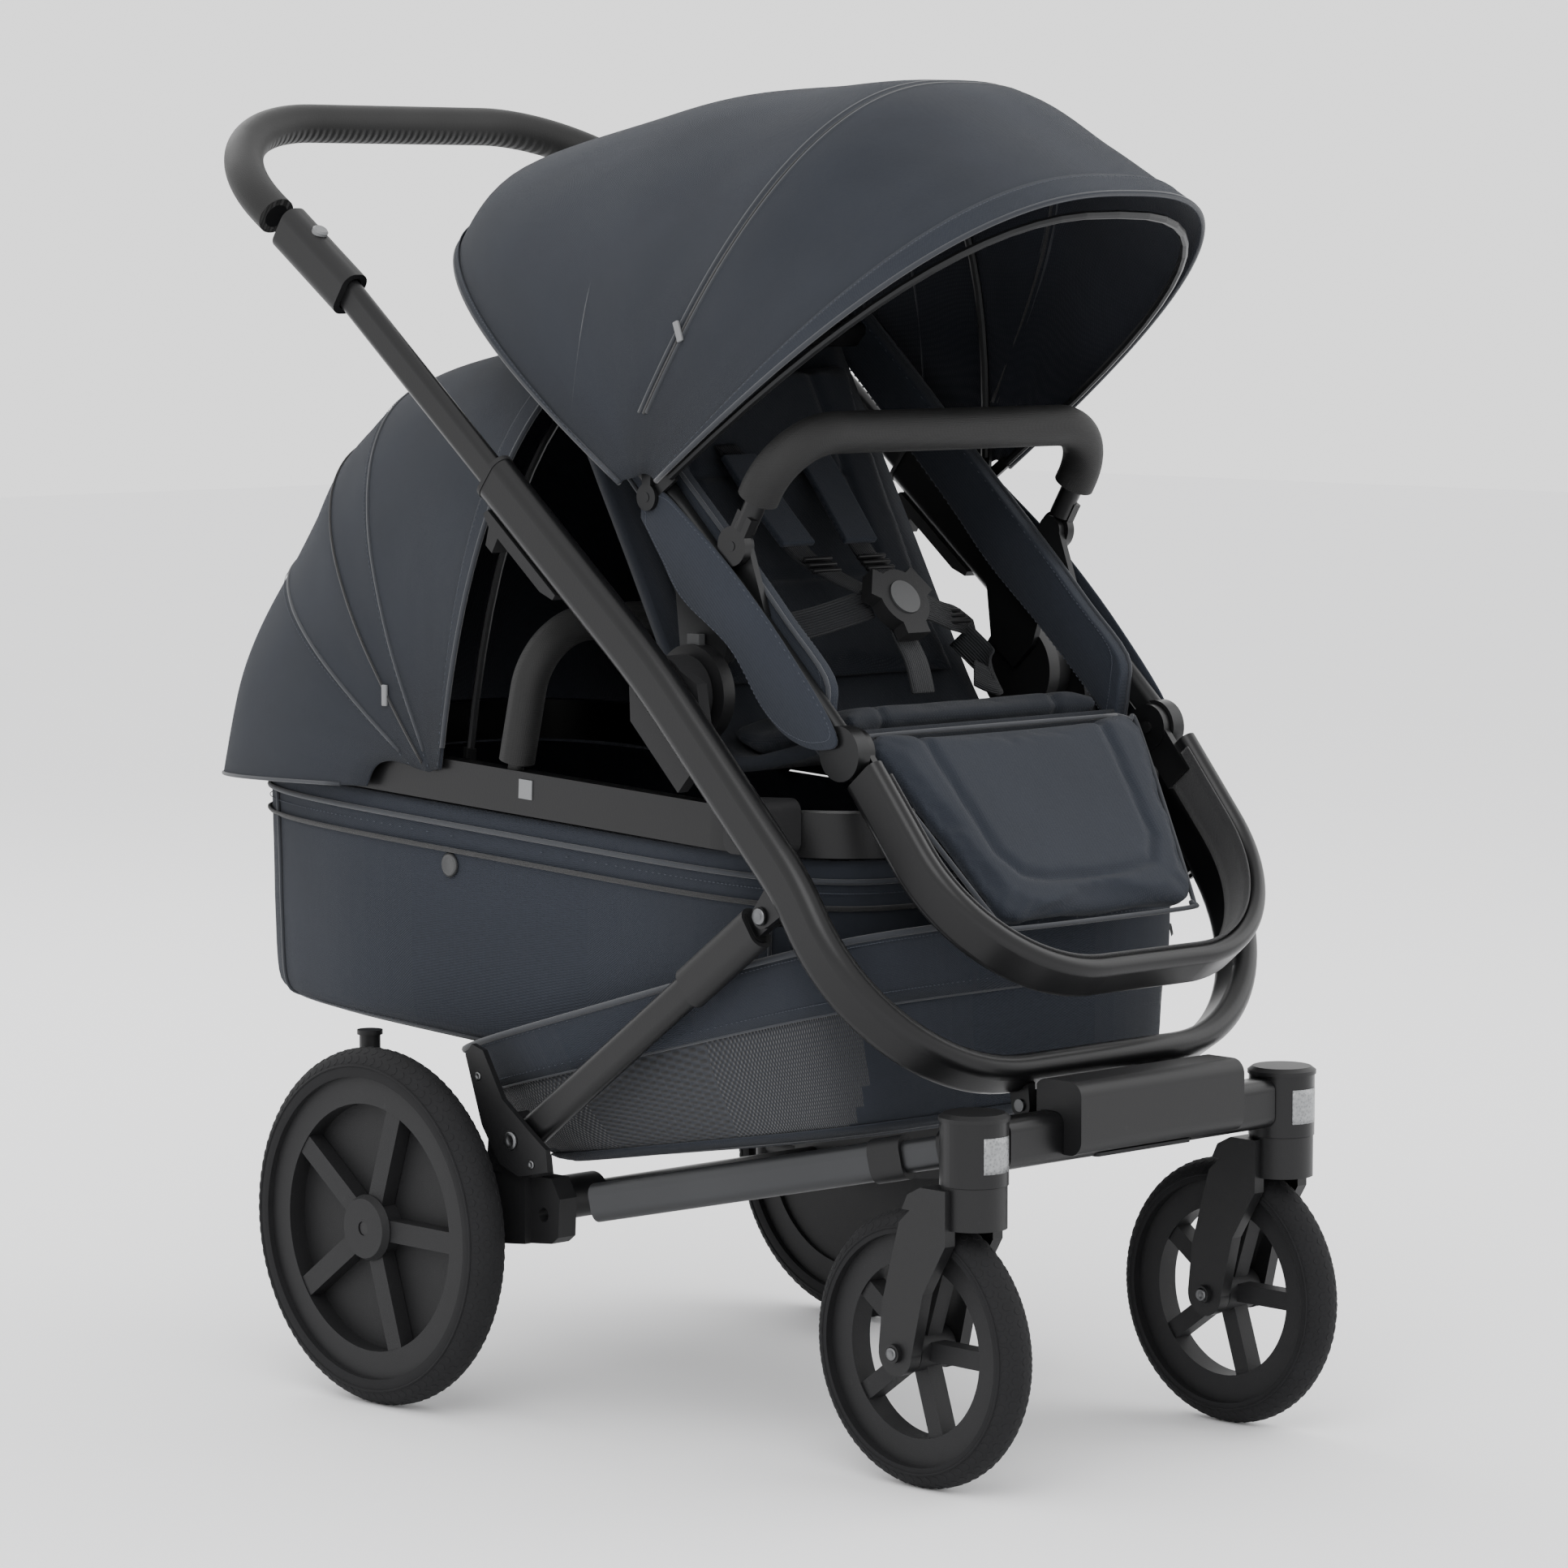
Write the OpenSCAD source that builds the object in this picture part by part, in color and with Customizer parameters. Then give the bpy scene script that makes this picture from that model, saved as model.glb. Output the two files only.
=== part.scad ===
// Tandem stroller: four-wheel folding chassis, reclining upper seat and a lower cot, each with its own
// canopy.
// The front points to -Y, +Z is up, +X is the stroller's left, and the floor is z = 0.

/* [Frame] */
// Half the distance between the centre lines of the two main tubes
half_w = 238; // [236:1:240]
// Height of the oval main tube
tube_h = 42; // [40:1:44]
// Thickness of the oval main tube
tube_t = 22; // [20:1:24]
// Wall of the oval tubes
tube_wall = 2; // [1.5:0.5:2.5]
// Slope of the straight upper stretch of the main tube, in degrees
upper_slope = 38.66; // [38:0.1:39.5]
// Slope of the front loop's plane, in degrees
loop_slope = 57; // [56:0.5:58]
// Bend radius of the front loop's corners
loop_r = 150; // [140:1:155]

/* [Wheels] */
// Radius of a rear wheel
rear_r = 150; // [148:0.5:150]
// Width of a rear tyre
rear_tyre_w = 36; // [32:1:38]
// Distance of a rear wheel's middle plane from the centre
rear_x = 281; // [279:1:282]
// Radius of a front wheel
front_r = 110; // [108:0.5:110]
// Width of a front tyre
front_tyre_w = 34; // [30:1:36]
// Distance of a caster's axis from the centre
caster_x = 179; // [178:1:180]
// Distance that a front wheel's axle trails behind its caster axis
trail = 54; // [50:1:56]
// Number of spokes in each wheel
spokes = 5; // [4:1:6]

/* [Handle] */
// Diameter of the padded grip
grip_d = 34; // [32:1:36]
// Bend radius of the grip's corners
grip_r = 140; // [135:1:145]

/* [Seat] */
// Half the width of the seat's frame
seat_w = 182; // [181:1:183]
// Slope of the seat's side frame, in degrees
seat_slope = 43; // [42:0.5:44]
// Half the width of the calf rest's frame
calf_w = 181; // [180:0.5:181.5]
// Thickness of the fabric walls
cloth = 4; // [3:0.5:6]

/* [Cot] */
// Half the outer width of the cot's ring
cot_w = 211; // [209:1:212]
// Length of the cot's ring
cot_len = 770; // [760:1:775]
// Height of the cot's ring
ring_h = 36; // [32:1:38]

/* [Hidden] */

$fn = 48;
mid_y = 46;                       // moves the model so that its footprint is centred on the origin
loop_y = -358;                    // middle of the front loop
loop_z = 318;
rear_y = 192;                     // rear axle
caster_y = -402;                  // caster axis
front_y = caster_y + trail;       // front axle
lower_bend = 250;                 // bend radii of the main tube's two shallow bends
upper_bend = 800;
mid_slope = 44.5;                 // slope between those bends
mid_len = 162;                    // straight stretch between those bends
upper_len = 196;                  // straight stretch that guides the handle tube
inner_h = 28;                     // handle tube
inner_t = 14;
inner_len = 320;
pivot = [-358, 292];              // fold pivot on the bridge, as y and z
strut_top = [-236, 445];          // pivots at the two ends of a strut
strut_end = [55, 235];
leg_pivot = [30, 175];            // rear legs' pivot on the lower tubes
tube_rear = [229, -22, 190];      // ends of a lower side tube
tube_front = [150, -372, 268];
hub = [-97, 608];                 // recline pivot of the seat, as y and z
knee = [-262, 570];               // pivot of the calf rest
hood = [-48, 764];                // pivot of the seat's canopy
cot_hood = [190, 512];            // pivot of the cot's canopy
ring_tilt = 2.5;                  // the cot rises a little towards the rear
bar_pivot = [-141, 728];          // pivot of the bumper bar
cot_y = 126;                      // middle of the cot, along Y
cot_z = 513;                      // height of its ring's middle
cot_corner = 120;                 // corner radius of the ring
frame_x = seat_w - 7;             // inner face of the seat's side tubes
cot_bar_slope = -76.2;            // slope of the cot bar's legs

// ---------- helpers ----------

module placed() translate([0, -mid_y, 0]) children();

module both() { children(); mirror([1, 0, 0]) children(); }

module on_side(left) mirror([left ? 0 : 1, 0, 0]) children();

// Outline with full-round ends, w wide and h high
module slot(w, h) {
  r = min(w, h) / 2;
  if (w != h) square(w > h ? [w - h, h] : [w, h - w], center = true);
  for (s = [-1, 1]) translate(s / 2 * [max(w - h, 0), max(h - w, 0)]) circle(r);
}

// Rectangle with rounded corners
module pad2d(w, h, r) {
  square([w - 2 * r, h], center = true);
  square([w, h - 2 * r], center = true);
  for (x = [-1, 1], y = [-1, 1]) translate([x * (w / 2 - r), y * (h / 2 - r)]) circle(r);
}

module oval(grow = 0) slot(tube_t + 2 * grow, tube_h + 2 * grow);

// Extrudes an outline along +Y
module run(len) rotate([-90, 0, 0]) linear_extrude(len) children();

// Extrudes an outline along X, centred
module across(len) rotate([90, 0, 90]) translate([0, 0, -len / 2]) linear_extrude(len) children();

// Bends an upright outline down by an angle about an axis r below the start
module bend(r, angle) translate([0, 0, -r]) rotate([0, -90, 0])
  rotate_extrude(angle = angle, $fn = 360) translate([r, 0]) rotate(90) children();

module after_run(len) translate([0, len, 0]) children();

module after_bend(r, angle) translate([0, r * sin(angle), r * (cos(angle) - 1)]) rotate([-angle, 0, 0])
    children();

// U of half width w: a front bar at y = 0, two corners of radius r and two legs
module u_sweep(w, r, leg) {
  across(2 * (w - r)) children();
  both() {
    translate([w - r, r, 0]) rotate([0, 0, -90]) rotate_extrude(angle = 90, $fn = 96) translate([r, 0])
        children();
    if (leg > 0) translate([w, r, 0]) run(leg) children();
  }
}

// Flat strap between two points
module strap(a, b, w, t) {
  v = b - a;
  translate(a) rotate([0, acos(v.z / norm(v)), atan2(v.y, v.x)]) translate([-t / 2, -w / 2, 0])
      cube([t, w, norm(v)]);
}

// Disc or pin along X that starts at x and goes outwards
module disc(x, y, z, d, len) translate([x, y, z]) rotate([0, 90, 0]) cylinder(h = len, d = d);

// Plate along X with its outline given as [y, z]
module plate(x, thick) translate([x, 0, 0]) rotate([90, 0, 90]) linear_extrude(thick) children();

// Faces over a ring of n points: its whole outline, or the short bridges across a thin band
function ring_cap(n, band) =
  band ? [for (i = [0:n / 2 - 2]) [i, i + 1, n - 2 - i, n - 1 - i]] : [[for (i = [0:n - 1]) i]];

// Closed solid through a row of point rings that all have the same count
module loft(rings, band = false) {
  n = len(rings[0]);
  last = len(rings) - 1;
  cap = ring_cap(n, band);
  polyhedron(
    points = [for (ring = rings) each ring],
    faces = concat(
      cap,
      [for (k = [0:last - 1], i = [0:n - 1]) each [
        [k * n + i, (k + 1) * n + i, (k + 1) * n + (i + 1) % n],
        [k * n + i, (k + 1) * n + (i + 1) % n, k * n + (i + 1) % n]]],
      [for (face = cap) [for (i = [len(face) - 1:-1:0]) last * n + face[i]]]),
    convexity = 6);
}

function power(v, e) = sign(v) * pow(abs(v), e);

// Point of an arch that stands on x = +-w at base [y, z] and has its top at [y, z]
function arch_point(w, base, top, n, t) =
  let (k = power(sin(t), 2 / n))
  [-w * power(cos(t), 2 / n), base[0] + (top[0] - base[0]) * k, base[1] + (top[1] - base[1]) * k];

// Closed band of the arch, with its inner side moved in by the cloth
function arch_ring(w, base, top, n, steps, first) =
  let (f = 1 - cloth / norm(top - base), inner = base + (top - base) * f)
  concat(
    [for (i = [0:steps]) arch_point(w, base, top, n, first + i * (180 - 2 * first) / steps)],
    [for (i = [steps:-1:0]) arch_point(w - cloth, base, inner, n, first + i * (180 - 2 * first) / steps)]);

// Row i of a table, read between its rows
function between(table, u) =
  let (i = min(floor(u), len(table) - 2), f = u - i)
  [for (c = [0:len(table[0]) - 1]) table[i][c] * (1 - f) + table[i + 1][c] * f];

// Shell of cloth over a fan of arches; each row of tops is [y, z, w, exponent]
module hood_shell(base, tops, per_bay, steps)
  loft([for (k = [0:(len(tops) - 1) * per_bay])
    let (r = between(tops, k / per_bay))
        arch_ring(r[2], base, [r[0], r[1]], r[3], steps, 1.2)], band = true);

// Ring of a rounded rectangle from a tub's row, moved in by inset and up by lift
function tub_ring(r, inset, lift, count) =
  [for (i = [0:count - 1]) let (a = i * 360 / count, v = (r[1] - inset) * power(sin(a), 2 / r[4]))
    [(r[0] - inset) * power(cos(a), 2 / r[4]), r[2] + v, r[3] + lift + v * (r[5] == undef ? 0 : r[5])]];

// Open tub; each row is [half width, half length, middle y, z, exponent, slope]
module tub(rows, wall, floor_t, count)
  loft(concat(
    [for (r = rows) tub_ring(r, 0, 0, count)],
    [for (i = [len(rows) - 1:-1:0]) tub_ring(rows[i], wall, i == 0 ? floor_t : 0, count)]));

// ---------- chassis ----------

module caster_housing() translate([caster_x, caster_y, 246]) difference() {
  cylinder(h = 50, d = 54);
  translate([0, 0, -1]) cylinder(h = 41, d = 24.2);
}

module bridge_beam() placed() color("#1b1b1d") {
  difference() {
    union() {
      both() caster_housing();
      translate([0, caster_y, 274]) across(2 * caster_x - 50) pad2d(30, 40, 10);
      both() lower_axis(0.93, 50) slot(24, 34);
    }
    both() lower_axis(0.92, 0.08 * lower_len - 1.6) slot(16, 26);
    both() translate([caster_x, caster_y, 245]) cylinder(h = 41, d = 24.2);
    translate([0, -405, 252.5]) cube([112, 24, 10], center = true);
  }
  both() translate([64, pivot[0], 0]) rotate([90, 0, 90]) linear_extrude(9) difference() {
    union() {
      translate([0, pivot[1]]) circle(10.5);
      polygon([[-34, 262], [2, 262], [9, 286], [-6, 300], [-34, 290]]);
    }
    translate([0, pivot[1]]) circle(5.05);
  }
}

module bridge_cover() placed() color("#242426") {
  difference() {
    translate([0, -411, 290]) across(190) pad2d(50, 58, 12);
    translate([0, -409, 288]) across(184) pad2d(44, 50, 10);
    translate([0, caster_y, 274]) across(240) pad2d(30.6, 40.6, 10);
    translate([0, -377, 290]) cube([240, 22, 80], center = true);
  }
  both() translate([caster_x, caster_y, 296]) {
    cylinder(h = 3, d = 56);
    translate([0, 0, 3]) cylinder(h = 3, d1 = 56, d2 = 48);
  }
}

module bridge_lid() placed() color("#202022")
  translate([0, -405, 254.5]) linear_extrude(3) pad2d(110, 22, 4);

lower_v = tube_front - tube_rear;
lower_len = norm(lower_v);

module lower_axis(u, len) {
  v = lower_v;
  translate(tube_rear + v * u) rotate([asin(v.z / norm(v)), 0, atan2(v.y, v.x) - 90])
    rotate([-90, 0, 0]) linear_extrude(len) children();
}

module lower_tubes() placed() both() {
  color("#4a4b4d") lower_axis(0, 275) slot(20, 32);
  color("#1b1b1d") lower_axis(0.74, 0.26 * lower_len - 1.6) slot(16, 26);
}

module tube_sleeves() placed() color("#161617") both()
  lower_axis(0.752, 30) difference() { slot(23, 36); slot(16.2, 26.2); }

basket_rows = [
  [176, 190, -84, 230, 4, -0.17], [196, 212, -80, 240, 5, -0.18], [212, 236, -60, 292, 5, -0.24],
  [222, 256, -40, 358, 5, -0.29]
];

module basket() placed() color("#232a38") tub(basket_rows, 4, 4, 40);

module rear_axle() placed() color("#1b1b1d") {
  rotate([0, 90, 0]) translate([-rear_r, rear_y, -254]) cylinder(h = 508, d = 22);
  both() disc(250, rear_y, rear_r, 11.9, 48);
}

module axle_blocks() placed() color("#161617") both() difference() {
  plate(222, 26) polygon([[12, 158], [20, 152], [80, 146], [150, 132], [205, 128], [214, 140], [214, 162],
    [200, 172], [150, 180], [92, 206], [20, 206], [10, 190]]);
  disc(200, leg_pivot[0], leg_pivot[1], 12.1, 60);
  disc(200, rear_y, rear_r, 22, 60);
  translate([241, leg_pivot[0] - 30, 140]) cube([20, 45, 80]);
}

module rear_guards() placed() both() {
  color("#131314") difference() {
    plate(249, 5) polygon([[10, 214], [46, 206], [70, 214], [92, 244], [112, 300], [104, 310], [90,
        306], [66, 268],
      [34, 246], [12, 232]]);
    disc(240, strut_end[0], strut_end[1], 8, 20);
  }
  color("#161617") plate(226, 23) difference() {
    polygon([[34, 206], [92, 206], [88, 250], [66, 256], [40, 246]]);
    translate(strut_end) circle(17);
    for (turn = [0, 12, 25]) translate(strut_end) rotate(strut_angle + turn)
      translate([30, 0]) square([60, 31], center = true);
  }
  color("#202022") translate([232, 262, 0]) {
    translate([0, 0, 138]) cylinder(h = 162, d = 18);
    translate([0, 0, 300]) cylinder(h = 4, d = 22);
  }
  color("#1b1b1d") translate([232, 214, 152]) rotate([-90, 0, 0]) cylinder(h = 52, d = 13);
}

module brake_pedal() placed() color("#202022") {
  translate([-100, rear_y, rear_r]) rotate([0, 90, 0]) difference() {
    cylinder(h = 60, d = 38);
    translate([0, 0, -1]) cylinder(h = 62, d = 22.1);
  }
  translate([-98, rear_y + 15, rear_r - 14]) rotate([-25, 0, 0]) cube([56, 62, 8]);
}

// ---------- main frame ----------

// Sweeps an outline along the whole bent tube
module main_path() {
  u_sweep(half_w, loop_r, 0) children();
  both() translate([half_w, loop_r, 0]) {
    bend(lower_bend, loop_slope - mid_slope) children();
    after_bend(lower_bend, loop_slope - mid_slope) {
      run(mid_len) children();
      after_run(mid_len) {
        bend(upper_bend, mid_slope - upper_slope) children();
        after_bend(upper_bend, mid_slope - upper_slope) run(upper_len) children();
      }
    }
  }
}

module at_upper_end() rotate([loop_slope, 0, 0]) translate([half_w, loop_r, 0])
  after_bend(lower_bend, loop_slope - mid_slope) after_run(mid_len)
  after_bend(upper_bend, mid_slope - upper_slope) after_run(upper_len) children();

module at_loop() placed() translate([0, loop_y, loop_z]) children();

// Lugs below the tube: the fold pivot's on the front loop, and a pair for each strut
module tube_lugs() placed() both() {
  plate(74, 8) { translate(pivot) circle(10);
      polygon([[-368, 292], [-348, 292], [-344, 314], [-358, 318], [-366, 312]]); }
  for (x = [half_w - 10, half_w + 4.5]) plate(x, 5.5) {
    translate(strut_top) circle(10);
    polygon([[-243, 437], [-229, 452], [-246, 474], [-266, 452]]);
  }
}

module main_tube() color("#1a1a1c") difference() {
  union() {
    at_loop() rotate([loop_slope, 0, 0]) main_path() oval();
    tube_lugs();
  }
  at_loop() both() at_upper_end() translate([0, 1 - upper_len, 0]) run(upper_len) oval(-tube_wall);
  placed() both() { disc(70, pivot[0], pivot[1], 10, 16);
      disc(half_w - 12, strut_top[0], strut_top[1], 8, 24); }
}

module tube_collars() color("#161617") at_loop() both() at_upper_end() {
  difference() {
    translate([0, -28, 0]) run(28) slot(tube_t - 2 * tube_wall - 0.1, tube_h - 2 * tube_wall - 0.1);
    translate([0, -29, 0]) run(40) slot(inner_t + 0.12, inner_h + 0.12);
  }
  difference() {
    run(4) oval(0.6);
    translate([0, -1, 0]) run(6) slot(inner_t + 0.12, inner_h + 0.12);
  }
}

module seat_adapters() placed() color("#161617") both() difference() {
  union() {
    disc(199, hub[0], hub[1], 64, 28);
    plate(216, 11) polygon([[-150, 566], [-118, 532], [-62, 586], [-60, 630], [-100, 640], [-140, 620]]);
  }
  disc(190, hub[0], hub[1], 20.1, 30);
}

module cot_adapters() color("#161617") difference() {
  placed() both() plate(190, half_w - tube_t / 2 - 190) translate([-196, 510]) pad2d(50, 44, 10);
  in_cot() translate([0, 0, -60]) linear_extrude(120)
      pad2d(2 * cot_w + 0.6, cot_len + 0.6, cot_corner + 0.3);
}

module frame_pins() placed() color("silver") both() {
  disc(60, pivot[0], pivot[1], 10, 24);
  disc(half_w - 12, strut_top[0], strut_top[1], 8, 24);
}

// ---------- struts ----------

strut_v = strut_top - strut_end;
strut_angle = atan2(strut_v[1], strut_v[0]);

module along_strut(from) placed() both() translate([half_w, strut_end[0], strut_end[1]])
  rotate([strut_angle, 0, 0]) translate([0, from, 0]) children();

module struts() color("#1d1d1f") difference() {
  union() {
    along_strut(0) run(norm(strut_v) - 17) slot(15, 28);
    along_strut(0) rotate([0, 90, 0]) cylinder(h = 15, d = 28, center = true);
    along_strut(norm(strut_v) - 30) run(30) square([8, 18], center = true);
    along_strut(norm(strut_v)) rotate([0, 90, 0]) cylinder(h = 8, d = 18, center = true);
  }
  along_strut(0) rotate([0, 90, 0]) cylinder(h = 30, d = 9, center = true);
  along_strut(norm(strut_v)) rotate([0, 90, 0]) cylinder(h = 30, d = 8.1, center = true);
}

module strut_sleeves() color("#2a2a2c") along_strut(norm(strut_v) - 113)
  difference() { run(94) slot(21, 36); translate([0, -1, 0]) run(96) slot(15, 28); }

// ---------- handle ----------

module handle_tubes() color("#202022") {
  at_loop() both() at_upper_end() translate([0, 250 - inner_len, 0])
    run(inner_len) difference() { slot(inner_t, inner_h); slot(inner_t - 3, inner_h - 3); }
  grip_path() circle(d = 22);
}

module grip_path() placed() translate([0, 497, 1072]) rotate([180 + 33, 0, 0])
  u_sweep(half_w, grip_r, 10) children();

module handle_housings() color("#262628") at_loop() both() at_upper_end() translate([0, 238, 0])
  rotate([-4, 0, 0]) difference() {
    run(98) pad2d(26, 40, 11);
    translate([0, -1, 0]) rotate([4, 0, 0]) run(15) slot(inner_t + 0.2, inner_h + 3);
    translate([0, 88, 0]) run(12) circle(d = 23);
    translate([0, 62, 14]) cylinder(h = 10, d = 14.4);
  }

module handle_grip() color("#151516") grip_path() difference() { circle(d = grip_d); circle(d = 22); }

module handle_button(left) color("#8e9093") at_loop() on_side(left) at_upper_end() translate([0, 238, 0])
  rotate([-4, 0, 0]) translate([0, 62, 16.2]) { cylinder(h = 6, d = 14); translate([0, 0, 6])
      cylinder(h = 1.5, d1 = 14, d2 = 11); }

module fold_hook(left) color("#1f1f21") at_loop() on_side(left) at_upper_end()
    translate([0, -74, -tube_h / 2 - 0.3])
  rotate([90, 0, 90]) translate([0, 0, -8]) linear_extrude(16)
  polygon([[-46, 0], [60, 0], [62, -6], [50, -10], [44, -24], [34, -24], [36, -10], [-30, -10], [-46, -5]]);

// ---------- wheels ----------

module spoke_ring(r_in, r_out, w, t) for (i = [0:spokes - 1]) rotate([i * 360 / spokes + 90, 0, 0])
  translate([-t / 2, -w / 2, r_in]) cube([t, w, r_out - r_in]);

module rear_rim(left) color("#141415") placed() on_side(left) translate([rear_x, rear_y, rear_r])
    difference() {
  union() {
    rotate([0, 90, 0]) translate([0, 0, -12]) {
      difference() { cylinder(h = 24, d = 254, $fn = 96); translate([0, 0, -1])
          cylinder(h = 26, d = 208, $fn = 96); }
      translate([0, 0, 4]) cylinder(h = 4, d = 212, $fn = 96);
      cylinder(h = 24, d = 50);
      translate([0, 0, 24]) cylinder(h = 6, d1 = 56, d2 = 50);
    }
    translate([4, 0, 0]) spoke_ring(20, 116, 18, 14);
  }
  rotate([0, 90, 0]) translate([0, 0, -14]) cylinder(h = 34, d = 12);
}

module tyre(r, w, rim_r) rotate([0, 90, 0]) rotate_extrude($fn = 96) difference() {
  translate([r - w / 2, 0]) circle(w / 2);
  translate([0, -w]) square([rim_r, 2 * w]);
}

module rear_tyre(left) color("#0f0f10") placed() on_side(left) translate([rear_x, rear_y, rear_r])
  tyre(rear_r, rear_tyre_w, 127);

module leg2d() {
  polygon([[-402, 200], [-402, 232], [-372, 232], [-352, 214], [-334, 150], [-330, 112], [-365, 106],
      [-378, 160]]);
  translate([front_y, front_r]) circle(18);
}

module fork(left) color("#18181a") placed() on_side(left) {
  difference() {
    union() {
      both_about(caster_x) plate(caster_x + 21, 11) leg2d();
      translate([caster_x, -389, 224.5]) across(64)
          polygon([[-13, 0], [34, 0], [28, 12], [14, 19], [-13, 19]]);
      translate([caster_x, caster_y, 212]) cylinder(h = 33.6, d = 52);
    }
    translate([caster_x, front_y, front_r]) rotate([0, 90, 0])
        cylinder(h = 41.6, r = front_r + 2, center = true, $fn = 96);
    disc(caster_x - 40, front_y, front_r, 8.2, 80);
  }
  translate([caster_x, caster_y, 240]) cylinder(h = 44, d = 24);
  disc(caster_x - 35, front_y, front_r, 8, 70);
  for (s = [-1, 1]) translate([caster_x + s * 34, front_y, front_r]) rotate([0, 90, 0])
    cylinder(h = 4, d = 15, center = true);
}

module both_about(x) { children(); translate([2 * x, 0, 0]) mirror([1, 0, 0]) children(); }

module front_rim(left) color("#141415") placed() on_side(left) translate([caster_x, front_y, front_r])
    difference() {
  union() {
    rotate([0, 90, 0]) translate([0, 0, -10])
      difference() { cylinder(h = 20, d = 184, $fn = 96); translate([0, 0, -1])
          cylinder(h = 22, d = 140, $fn = 96); }
    rotate([0, 90, 0]) translate([0, 0, -19]) cylinder(h = 38, d = 34);
    spoke_ring(14, 71, 15, 16);
  }
  rotate([0, 90, 0]) translate([0, 0, -20]) cylinder(h = 40, d = 8.1);
}

module front_tyre(left) color("#0f0f10") placed() on_side(left) translate([caster_x, front_y, front_r])
  tyre(front_r, front_tyre_w, 92);

module swivel_lock(left) color("#1c1c1e") placed() on_side(left)
  translate([110, caster_y + 15.3, 256]) { cube([22, 14, 16]); translate([4, 14, 0]) cube([14, 10, 7]); }

// ---------- seat ----------

// Carries a part drawn along +Y up the seat's side frame, from its front end
module on_seat() placed() translate([0, knee[0], knee[1]]) rotate([seat_slope, 0, 0]) children();

module seat_frame() color("#2b2c2e") {
  on_seat() both() translate([seat_w, 12, 4]) run(452) slot(14, 24);
  on_seat() translate([0, 464, 4]) across(2 * seat_w) slot(14, 24);
  placed() both() {
    disc(frame_x + 0.5, knee[0], knee[1], 44, 13);
    disc(calf_w - 16, knee[0], knee[1], 10, 15);
    plate(frame_x + 1, 6) {
      polygon([[-140, 684], [-60, 748], [-74, 630], [-100, 610], [-122, 630]]);
      polygon([[-172, 674], [-152, 728], [-129, 728], [-118, 706]]);
      translate(bar_pivot) circle(12);
    }
    disc(frame_x + 1, bar_pivot[0], bar_pivot[1], 8, 14.5);
    disc(frame_x + 12, hood[0], hood[1], 8, 10.5);
  }
}

module seat_hubs() placed() color("#1a1a1c") both() {
  difference() {
    disc(frame_x + 7, hub[0], hub[1], 80, 12.4);
    translate([seat_w + 2, hub[0] - 7.2, hub[1] + 22]) cube([7, 14.4, 30]);
  }
  disc(seat_w + 8, hub[0], hub[1], 20, 26);
}

seat_band = [[-236, 562], [-30, 742], [112, 880], [112, 902], [92, 918], [70, 912], [-148, 716], [-236,
    630]];
seat_tub = [[-236, 556], [-120, 540], [-76, 552], [-44, 590], [118, 872], [112, 902], [92, 918], [-236,
    620]];
seat_room = [[-240, 578], [-122, 552], [-84, 564], [-56, 596], [104, 876], [60, 960], [-280, 800],
    [-240, 590]];

module seat_shell() placed() color("#333b4c") difference() {
  union() {
    plate(0.5 - frame_x, 2 * frame_x - 1) polygon(seat_band);
    plate(-164, 328) polygon(seat_tub);
  }
  plate(-160, 320) polygon(seat_room);
  translate([0, knee[0], knee[1]]) rotate([seat_slope, 0, 0]) translate([0, 464, 4]) across(400)
      slot(14.6, 24.6);
}

module seat_pad() placed() color("#2d3545") {
  plate(-150, 300) polygon([[-80, 600], [-58, 598], [88, 856], [78, 872], [62, 868]]);
  plate(-155, 310) polygon([[-235, 580], [-124, 555], [-88, 566], [-84, 586], [-120, 582], [-235, 600]]);
}

module harness() placed() color("#101114") {
  both() {
    strap([42, 17, 795], [36, -60, 716], 26, 3);
    strap([36, -60, 716], [20, -122, 684], 26, 3);
    strap([146, -86, 640], [24, -125, 673], 26, 3);
  }
  strap([0, -170, 600], [0, -140, 652], 26, 3);
}

module buckle() placed() color("#141415") translate([0, -134, 672]) rotate([58, 0, 0]) difference() {
  linear_extrude(14) union() { circle(26); for (a = [30, 150, 270]) rotate(a) translate([20, 0])
      square([26, 26], center = true); }
  translate([0, 0, 8]) cylinder(h = 10, d = 30.4);
}

module buckle_button() placed() color("#6e7073") translate([0, -134, 672]) rotate([58, 0, 0])
  translate([0, 0, 10.5]) cylinder(h = 5, d = 30);

module hub_button(left) placed() color("#2a2a2c") on_side(left)
  translate([seat_w + 2.3, hub[0] - 7, hub[1] + 28]) cube([6.4, 14, 20]);

module bumper_path() placed() translate([0, -195, 818]) rotate([-58.5, 0, 0]) children();

module bumper_bar() color("#1c1c1e") {
  bumper_path() u_sweep(seat_w, 54, 36) circle(d = 18);
  placed() both() difference() {
    plate(frame_x + 7.4, 7.6) {
      translate(bar_pivot) circle(16);
      translate(bar_pivot) rotate(121.5) translate([0, -9]) square([30, 18]);
    }
    disc(frame_x, bar_pivot[0], bar_pivot[1], 8.1, 20);
  }
}

module bumper_grip() color("#161617") bumper_path()
  difference() { u_sweep(seat_w, 54, 6) circle(d = 34); u_sweep(seat_w, 54, 8) circle(d = 18); }

module calf_frame() color("#18181a") placed() difference() {
  union() {
    translate([0, -415, 397]) rotate([50, 0, 0]) {
      u_sweep(calf_w, 124, 81) slot(16, 40);
      both() translate([calf_w - 13, 178, -20]) cube([frame_x - calf_w + 12, 44, 28]);
    }
    both() disc(calf_w - 14, knee[0], knee[1], 38, frame_x - calf_w + 13.4);
  }
  both() disc(calf_w - 20, knee[0], knee[1], 10.1, 30);
}

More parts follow.
